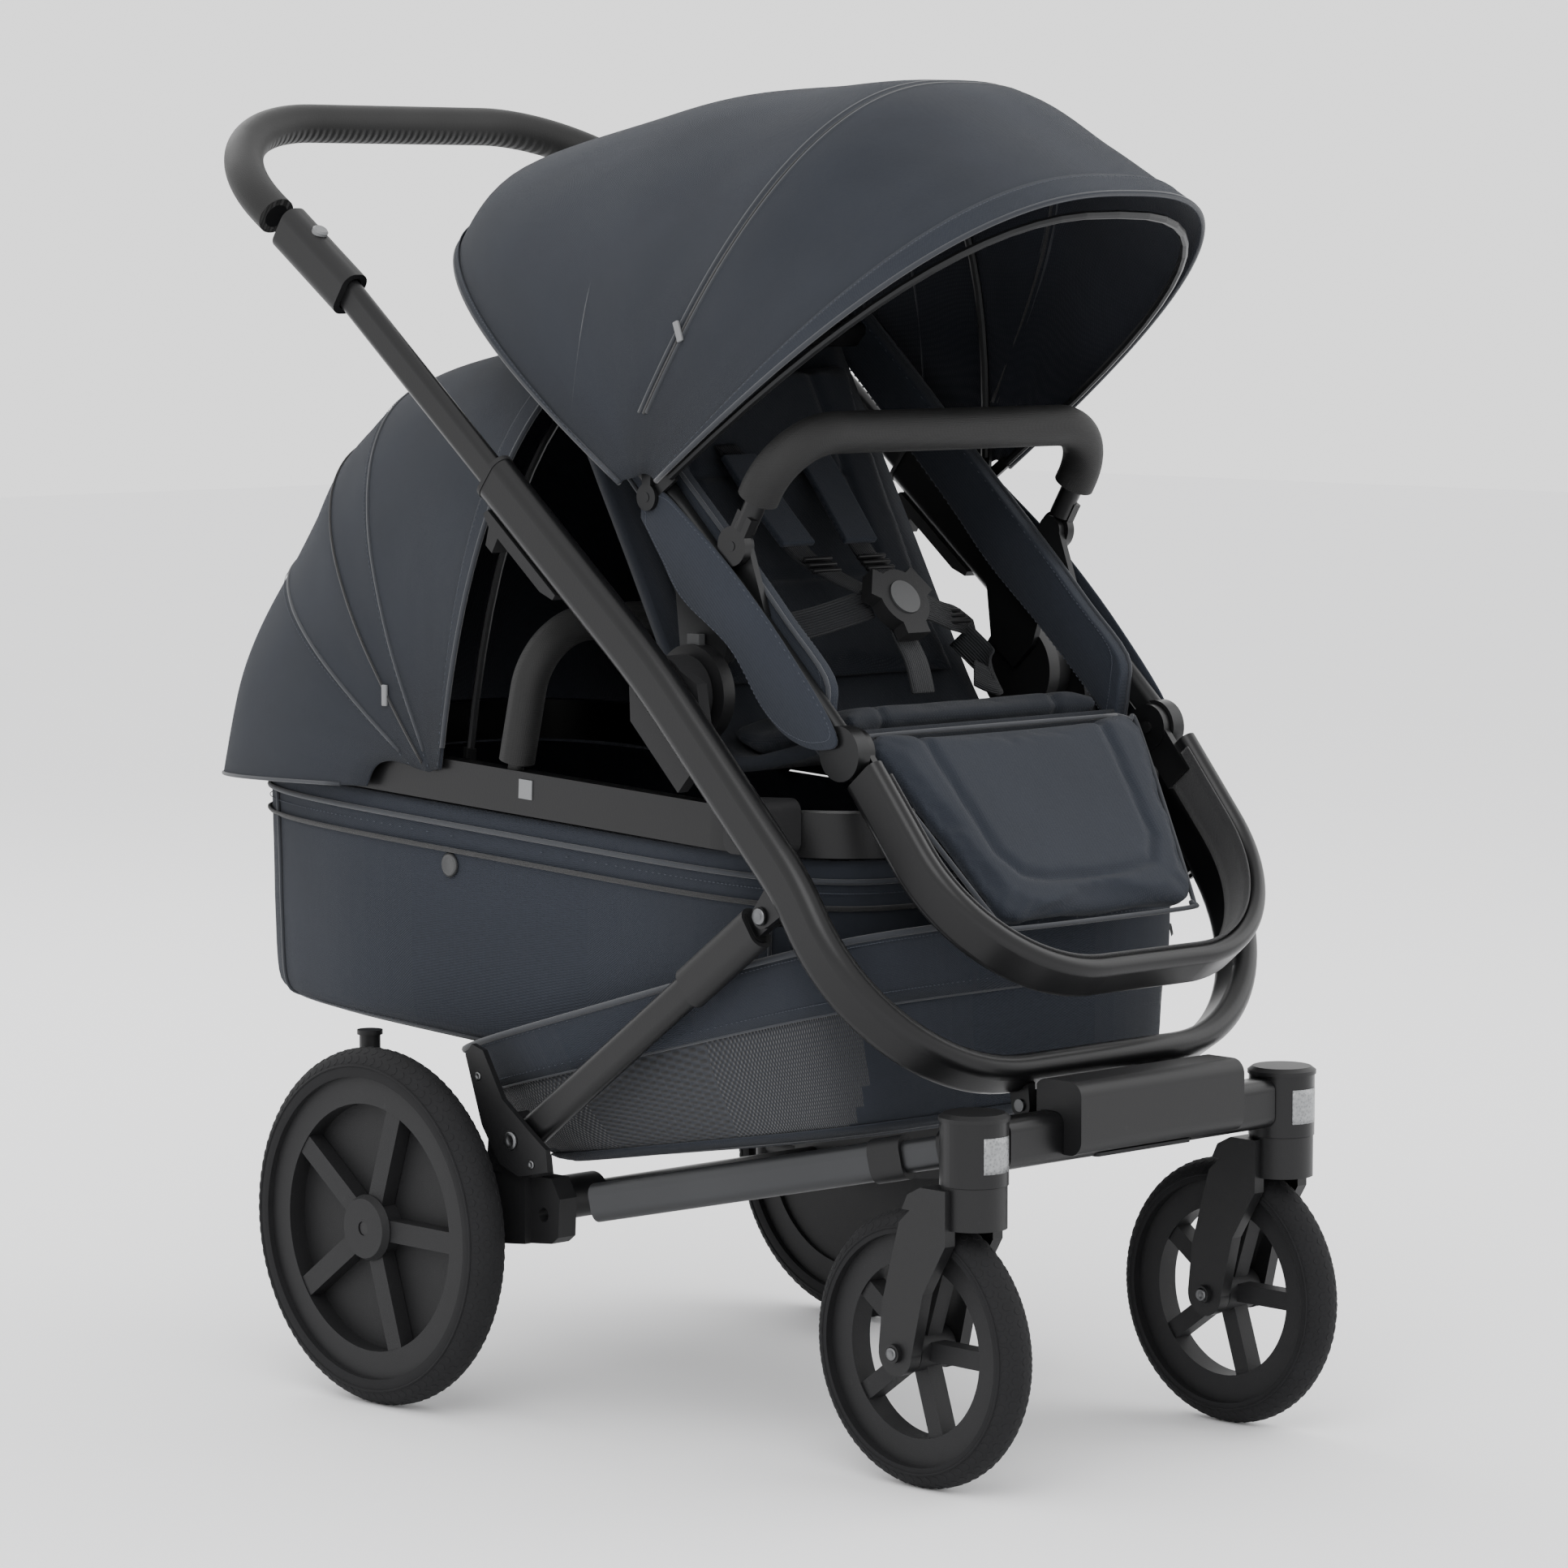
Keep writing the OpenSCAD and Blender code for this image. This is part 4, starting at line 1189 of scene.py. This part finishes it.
class STROLLER_OT_basket(bpy.types.Operator):
    """Make the shopping basket: cloth floor, net walls, doubled rim, snap"""
    bl_idname = "stroller.basket"
    bl_label = "Basket"

    def execute(self, context):
        def sag(u, v):
            side = abs(math.cos(2 * math.pi * u)) ** 3
            full = math.sin(math.pi * v)
            return full * (0.4 * math.sin(24 * math.pi * u) - 1.2 * side)
        bm = bmesh.new()
        tub_shell(bm, BASKET, 96, 30, (1.7, 0.16), sag)
        tub_floor(bm, BASKET, 0.0, (1.0, 0.2))
        bmesh.ops.remove_doubles(bm, verts=bm.verts, dist=WELD * 2.5)
        bmesh.ops.recalc_face_normals(bm, faces=bm.faces)
        turn_out(bm, spot(0, -60, 300))
        bag = piece("basket_bag", bm, [net_cloth(), lining_painted_shade(), canopy_cloth()], "chassis")
        for poly in bag.data.polygons:
            centre = poly.center
            if abs(centre.x) < 0.17 and (centre.y < spot(0, -220, 0).y or centre.y > spot(0, 100, 0).y):
                poly.material_index = 2
            if poly.normal.z < -0.7:
                poly.material_index = 2
        thicken(bag, 0.0018)
        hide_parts("basket")

        bm = bmesh.new()

        def band(u, v):
            return BASKET.at(u, 0.80 + 0.2 * v, -1.2)
        sheet_mesh(bm, 120, 4, band, (1.7, 0.04), closed=True)
        turn_out(bm, spot(0, -60, 330))

        def low_band(u, v):
            return BASKET.at(u, 0.26 + 0.16 * v, -1.0)
        sheet_mesh(bm, 120, 3, low_band, (1.7, 0.03), closed=True)
        bands = piece("basket_bands", bm, [canopy_cloth()], "chassis")
        thicken(bands, 0.0012, offset=1.0)

        bm = bmesh.new()
        for v, fat in ((1.0, 1.5), (0.80, 0.7), (0.26, 0.8)):
            cord_mesh(bm, [BASKET.at(i / 120, v, -1.4) for i in range(121)], cloth().piping * fat)
        piece("basket_piping", bm, [piping_cloth()], "chassis")

        bm = bmesh.new()
        for v in (0.83, 0.97):
            def path(f, v=v):
                at = BASKET.at(f, v, -2.6)
                return at, at - BASKET.at(f, v, 8)
            stitches(bm, path, 330)
        piece("basket_stitches", bm, [thread_cotton()], "chassis")

        bm = bmesh.new()
        for u in (0.375, 0.625, 0.125, 0.875):
            at = BASKET.at(u, 0.91, -2.6)
            bolt(bm, at, (at - BASKET.at(u, 0.91, 8)).normalized(), 0.0062, 0.0022, 0.002)
        piece("basket_snaps", bm, [mid_plastic()], "chassis")
        return {"FINISHED"}


RING_TILT = math.radians(2.5)


def in_cot(x, y, z):
    """Place drawn about the middle of the carrycot's rail, tilted with it"""
    y += 126 - 27
    return spot(x, 27 + y * math.cos(RING_TILT) - z * math.sin(RING_TILT),
                513 + y * math.sin(RING_TILT) + z * math.cos(RING_TILT))


COT = Tub([
    [150, 320, 0, -223, 3.6, 0], [178, 349, 0, -223, 4.2, 0], [188, 360, 0, -218, 4.6, 0],
    [195, 369, 0, -206, 5, 0],
    [199, 373, 0, -150, 5, 0], [201, 375, 0, -100, 5, 0], [203, 377, 0, -60, 5, 0],
    [205, 379, 0, -21, 5, 0]], in_cot)


class STROLLER_OT_carrycot(bpy.types.Operator):
    """Make the carrycot's padded body, its piping, zip, badge and mattress"""
    bl_idname = "stroller.carrycot"
    bl_label = "Carrycot"

    def execute(self, context):
        def fullness(u, v):
            return math.sin(math.pi * v) * (1.2 + 0.25 * math.sin(40 * math.pi * u))
        bm = bmesh.new()
        tub_shell(bm, COT, 128, 34, (2.0, 0.23), fullness)
        tub_floor(bm, COT, 0.0, (1.0, 0.3))
        bmesh.ops.remove_doubles(bm, verts=bm.verts, dist=WELD * 2.5)
        bmesh.ops.recalc_face_normals(bm, faces=bm.faces)
        turn_out(bm, in_cot(0, 0, -120))
        tub = piece("cot_tub", bm, [canopy_cloth(), lining_painted_shade()], "cot")
        thicken(tub, 0.005, painted_shade_lining=True)
        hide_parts("cot_body")

        bm = bmesh.new()
        for v, fat in ((0.30, 0.9), (0.93, 1.2)):
            cord_mesh(bm, [COT.at(i / 140, v, -1.8) for i in range(141)], cloth().piping * fat)
        for u in (0.105, 0.395, 0.605, 0.895):
            cord_mesh(bm, [COT.at(u, 0.30 + 0.63 * i / 24, -1.9) for i in range(25)], cloth().piping * 0.9)
        piece("cot_piping", bm, [piping_cloth()], "cot")

        bm = bmesh.new()
        cord_mesh(bm, [COT.at(0.13 + 0.74 * i / 120, 0.86, -2.2) for i in range(121)], 0.0032, oval=0.5)
        piece("cot_zip", bm, [felt()], "cot")

        bm = bmesh.new()
        for v in (0.27, 0.33, 0.90):
            def path(f, v=v):
                at = COT.at(f, v, -2.0)
                return at, at - COT.at(f, v, 8)
            stitches(bm, path, 360)
        piece("cot_stitches", bm, [thread_cotton()], "cot")

        bm = bmesh.new()
        for side in (-1, 1):
            centre = in_cot(side * 204.6, 60, -72)
            bolt(bm, centre, (side, 0, 0), 0.0105, 0.0018, 0.006)
        piece("cot_badge", bm, [mid_plastic()], "cot")

        bm = bmesh.new()
        w, l, r = 146, 316, 88
        outline = []
        for cx, cy, start in ((w - r, l - r, 0), (r - w, l - r, 90), (r - w, r - l, 180),
                              (w - r, r - l, 270)):
            for k in range(7):
                a = math.radians(start + 15 * k)
                outline.append((cx + r * math.cos(a), cy + r * math.sin(a)))
        slab(bm, [in_cot(x, y, -188) for x, y in outline], in_cot(0, 0, -158) - in_cot(0, 0, -188))
        # The mattress takes the darker lining colour: painted shade inside the carrycot
        mattress = piece("cot_cushion", bm, [lining_painted_shade()], "cot")
        round_edges(mattress, 0.006, 3, 40)
        fill_pad(mattress, 0.007, 0.008, 0.7)
        soften(mattress)
        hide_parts("cot_mattress")
        return {"FINISHED"}


# ---------- wheels and hardware ----------

SIDES = (("left", -1), ("right", 1))


class STROLLER_OT_tread(bpy.types.Operator):
    """Make the knobs of the tyres' tread and the bead lines on their sides"""
    bl_idname = "stroller.tread"
    bl_label = "Tyre Tread"

    def execute(self, context):
        made = wheels()
        for place, count in (("rear", 92), ("front", 70)):
            for side, _ in SIDES:
                node = f"{place}_tyre_{side}"
                low, high = (Vector(c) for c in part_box(node))
                hub = (low + high) / 2
                radius = (high.z - low.z) / 2
                half = (high.x - low.x) / 2
                bm = bmesh.new()
                for row in range(made.rows):
                    lean = math.radians(-58 + 116 * row / (made.rows - 1))
                    for k in range(count):
                        a = 2 * math.pi * (k + 0.5 * (row % 2)) / count
                        turn = Matrix.Rotation(a, 4, "X") @ Matrix.Translation((0, 0, radius - half)) @ \
                            Matrix.Rotation(lean, 4, "Y") @ Matrix.Translation((0, 0, half - 0.0006)) @ \
                            Matrix.Rotation(math.radians(30), 4, "Z")
                        bmesh.ops.create_cone(
                            bm, cap_ends=True, segments=6, radius1=made.knob, radius2=made.knob * 0.78,
                            depth=made.knob_height, matrix=Matrix.Translation(hub) @ turn)
                piece(f"{place}_tread_{side}", bm, [tyre_rubber()], f"{place}_wheel_{side}",
                      smooth=False)

                bm = bmesh.new()
                for lean in (-76, 76):
                    angle = math.radians(lean)
                    ring_r = radius - half + half * math.cos(angle)
                    x = hub.x + half * math.sin(angle)
                    turns = [2 * math.pi * i / 96 for i in range(97)]
                    ring = [Vector((x, hub.y + ring_r * math.cos(t), hub.z + ring_r * math.sin(t)))
                            for t in turns]
                    cord_mesh(bm, ring, 0.0011, 6)
                piece(f"{place}_beads_{side}", bm, [tyre_rubber()], f"{place}_wheel_{side}")
        return {"FINISHED"}


class STROLLER_OT_hardware(bpy.types.Operator):
    """Make bolts, caps, reflectors and the felt liner of the frame"""
    bl_idname = "stroller.hardware"
    bl_label = "Hardware"

    def bolts(self):
        for side, sign in SIDES:
            bm = bmesh.new()
            low, high = (Vector(c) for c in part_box(f"rear_rim_{side}"))
            hub = (low + high) / 2
            outer = high.x if sign > 0 else low.x
            bolt(bm, (outer - sign * 0.0004, hub.y, hub.z), (sign, 0, 0), 0.017, 0.0022, 0.010)
            piece(f"hub_cap_{side}", bm, [matt_plastic()], f"rear_wheel_{side}")
            bm = bmesh.new()
            low, high = (Vector(c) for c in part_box(f"front_rim_{side}"))
            hub = (low + high) / 2
            fork_low, fork_high = (Vector(c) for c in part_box(f"fork_{side}"))
            for out, x in ((-1, fork_low.x), (1, fork_high.x)):
                bolt(bm, (x - out * 0.0003, hub.y, hub.z), (out, 0, 0), 0.0058, 0.0022, 0.0028)
            piece(f"axle_bolts_{side}", bm, [bright_steel()], f"fork_{side}")

    def reflectors(self):
        bm = bmesh.new()
        for s in (-1, 1):
            middle = spot(s * 179, -402, 271)

            def place(u, v, middle=middle):
                angle = math.radians(-120 + 60 * u)
                reach = 0.0273
                return middle + Vector((reach * math.cos(angle), reach * math.sin(angle), -0.014 + 0.028 * v))
            sheet_mesh(bm, 14, 4, place, (0.028, 0.028))
        bmesh.ops.recalc_face_normals(bm, faces=bm.faces)
        patches = piece("stem_reflectors", bm, [reflector()], "chassis")
        thicken(patches, 0.0006, offset=0.0)

    def frame_bolts(self):
        bm = bmesh.new()
        for s in (-1, 1):
            bolt(bm, spot(s * 249.6, -236, 445), (s, 0, 0), 0.0075, 0.0028, 0.0032)
        piece("strut_bolts", bm, [bright_steel()], "main_frame")
        bm = bmesh.new()
        for s in (-1, 1):
            bolt(bm, spot(s * 254, 55, 235), (s, 0, 0), 0.0085, 0.003, 0.0036)
            bolt(bm, spot(s * 254, 96, 284), (s, 0, 0), 0.004, 0.0016, 0.0016)
            bolt(bm, spot(s * 254, 30, 218), (s, 0, 0), 0.004, 0.0016, 0.0016)
        piece("guard_bolts", bm, [bright_steel()], "rear_legs")
        bm = bmesh.new()
        for s in (-1, 1):
            bolt(bm, spot(s * 227.2, -97, 608), (s, 0, 0), 0.012, 0.002, 0.0)
        piece("hub_discs", bm, [matt_plastic()], "main_frame")

    def liner(self):
        """Felt strip on the inside of the calf rest's band"""
        bm = bmesh.new()
        tilt = math.radians(50)
        reach, corner, leg = 171.5, 124, 70
        wall = 9.5
        bend = corner - wall
        mid = reach - bend
        path = []
        for k in range(9):
            path.append((-reach, leg + corner - leg * k / 8))
        for k in range(1, 16):
            a = math.radians(180 + 90 * k / 15)
            path.append((-mid + bend * math.cos(a), corner + bend * math.sin(a)))
        for k in range(1, 10):
            path.append((-mid + 2 * mid * k / 10, wall))
        path += [(-x, y) for x, y in reversed(path[:24])]

        def local(x, y, z):
            return spot(x, -415 + y * math.cos(tilt) - z * math.sin(tilt),
                        397 + y * math.sin(tilt) + z * math.cos(tilt))
        points = [local(x, y, 0) for x, y in path]
        up = (local(0, 0, 1) - local(0, 0, 0)).normalized()
        smooth = curve_through(points)
        ribbon(bm, smooth, lambda v: up, 0.034, 120, 4)
        strip = piece("calf_liner", bm, [felt()], "calf_rest")
        thicken(strip, 0.002, offset=0.0)

    def execute(self, context):
        self.bolts()
        self.reflectors()
        self.frame_bolts()
        self.liner()
        return {"FINISHED"}


class STROLLER_OT_finishes(bpy.types.Operator):
    """Give every carried-over part of the frame its finish"""
    bl_idname = "stroller.finishes"
    bl_label = "Finishes"

    def execute(self, context):
        finish = {
            black_satin: ("bridge_beam", "rear_axle", "main_tube", "handle_tubes", "struts", "bumper_bar",
                          "cot_ring", "calf_frame"),
            dark_grey_satin: ("seat_frame", "canopy_middle_bow", "canopy_front_bow", "cot_canopy_bow"),
            grey_satin: ("lower_tubes",),
            bright_steel: ("frame_pins",),
            black_plastic: ("bridge_cover", "tube_sleeves", "axle_blocks", "rear_guards", "strut_sleeves",
                            "handle_housings", "seat_hubs", "fork_left", "fork_right", "brake_pedal"),
            matt_plastic: ("bridge_lid", "tube_collars", "seat_adapters", "cot_adapters", "rear_rim_left",
                           "rear_rim_right", "front_rim_left", "front_rim_right", "fold_hook_left",
                           "fold_hook_right", "swivel_lock_left", "swivel_lock_right", "buckle"),
            mid_plastic: ("hub_button_left", "hub_button_right", "buckle_button"),
            grey_plastic: ("handle_button_left", "handle_button_right", "cot_latch_left", "cot_latch_right"),
            grip_leather: ("handle_grip",),
            foam_grip: ("bumper_grip", "cot_bar"),
            tyre_rubber: ("rear_tyre_left", "rear_tyre_right", "front_tyre_left", "front_tyre_right"),
        }
        for build, nodes in finish.items():
            for name in nodes:
                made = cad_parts[name]
                made.data.materials.clear()
                made.data.materials.append(build())
        return {"FINISHED"}


# ---------- stage ----------

CAMERA_PLACE = Vector((-3.2562, -3.4464, 0.9703))
CAMERA_AIM = Vector((0, -0.046, 0.5))
CAMERA_SHIFT = (0.0018, 0.0119)
SENSOR_WIDTH = 36
FAR_CLIP = 60
FLOOR_HALF = 14

# Each lamp: its name, place, size, share of the key light's power, and the point that it faces
LAMPS = (
    ("key", (-2.6, -2.2, 3.4), 2.6, 1.0, (0, -0.05, 0.6)),
    ("fill", (3.2, -1.8, 2.4), 3.0, 0.5, (0, -0.05, 0.5)),
    ("rim", (0.6, 3.2, 3.0), 2.4, 0.6, (0, -0.05, 0.7)))


class STROLLER_OT_stage(bpy.types.Operator):
    """Make the floor, the light and the camera"""
    bl_idname = "stroller.stage"
    bl_label = "Stage"

    def execute(self, context):
        scene = context.scene
        bm = bmesh.new()
        bmesh.ops.create_grid(bm, x_segments=2, y_segments=2, size=FLOOR_HALF)
        mesh = bpy.data.meshes.new("floor")
        bm.to_mesh(mesh)
        bm.free()
        floor = bpy.data.objects.new("floor", mesh)
        mesh.materials.append(floor_paint())
        scene.collection.objects.link(floor)

        world = bpy.data.worlds.new("surround")
        world.use_nodes = True
        world.node_tree.nodes["Background"].inputs["Color"].default_value = (1, 1, 1, 1)
        world.node_tree.nodes["Background"].inputs["Strength"].default_value = studio().glow
        scene.world = world
        for name, place, size, power_share, aim in LAMPS:
            light = bpy.data.lights.new(name, "AREA")
            light.size = size
            light.energy = studio().key * power_share
            lamp = bpy.data.objects.new(name, light)
            lamp.location = place
            lamp.rotation_euler = (Vector(aim) - Vector(place)).to_track_quat("-Z", "Y").to_euler()
            scene.collection.objects.link(lamp)

        view = bpy.data.cameras.new("camera")
        view.lens = studio().lens
        view.sensor_width = SENSOR_WIDTH
        view.shift_x, view.shift_y = CAMERA_SHIFT
        view.clip_end = FAR_CLIP
        camera = bpy.data.objects.new("camera", view)
        camera.location = CAMERA_PLACE
        aim = CAMERA_AIM - camera.location
        camera.rotation_euler = aim.to_track_quat("-Z", "Y").to_euler()
        scene.collection.objects.link(camera)
        scene.camera = camera
        return {"FINISHED"}


# ---------- panel and registration ----------

STEPS = (
    STROLLER_OT_stage, STROLLER_OT_finishes, STROLLER_OT_seat_canopy, STROLLER_OT_cot_canopy,
    STROLLER_OT_seat_cover,
    STROLLER_OT_seat_pads, STROLLER_OT_calf_pad, STROLLER_OT_harness, STROLLER_OT_basket,
    STROLLER_OT_carrycot,
    STROLLER_OT_tread, STROLLER_OT_hardware)

SETTINGS = {
    "stroller_cloth": ClothSettings, "stroller_frame": FrameSettings, "stroller_wheels": WheelSettings,
    "stroller_studio": StudioSettings}


class STROLLER_PT_panel(bpy.types.Panel):
    """Lists the steps and the settings"""
    bl_idname = "STROLLER_PT_panel"
    bl_label = "Stroller"
    bl_space_type = "VIEW_3D"
    bl_region_type = "UI"
    bl_category = "Stroller"

    def draw(self, context):
        for step in STEPS:
            self.layout.operator(step.bl_idname)
        for name in SETTINGS:
            group = getattr(context.scene, name)
            box = self.layout.box()
            for key in group.bl_rna.properties.keys():
                if key not in ("rna_type", "name"):
                    box.prop(group, key)


def register():
    for name, group in SETTINGS.items():
        bpy.utils.register_class(group)
        setattr(bpy.types.Scene, name, bpy.props.PointerProperty(type=group))
    for step in STEPS:
        bpy.utils.register_class(step)
    bpy.utils.register_class(STROLLER_PT_panel)


def unregister():
    bpy.utils.unregister_class(STROLLER_PT_panel)
    for step in reversed(STEPS):
        bpy.utils.unregister_class(step)
    for name, group in SETTINGS.items():
        delattr(bpy.types.Scene, name)
        bpy.utils.unregister_class(group)


def main():
    register()
    for step in STEPS:
        group, name = step.bl_idname.split(".")
        getattr(getattr(bpy.ops, group), name)()


if __name__ == "__main__":
    main()
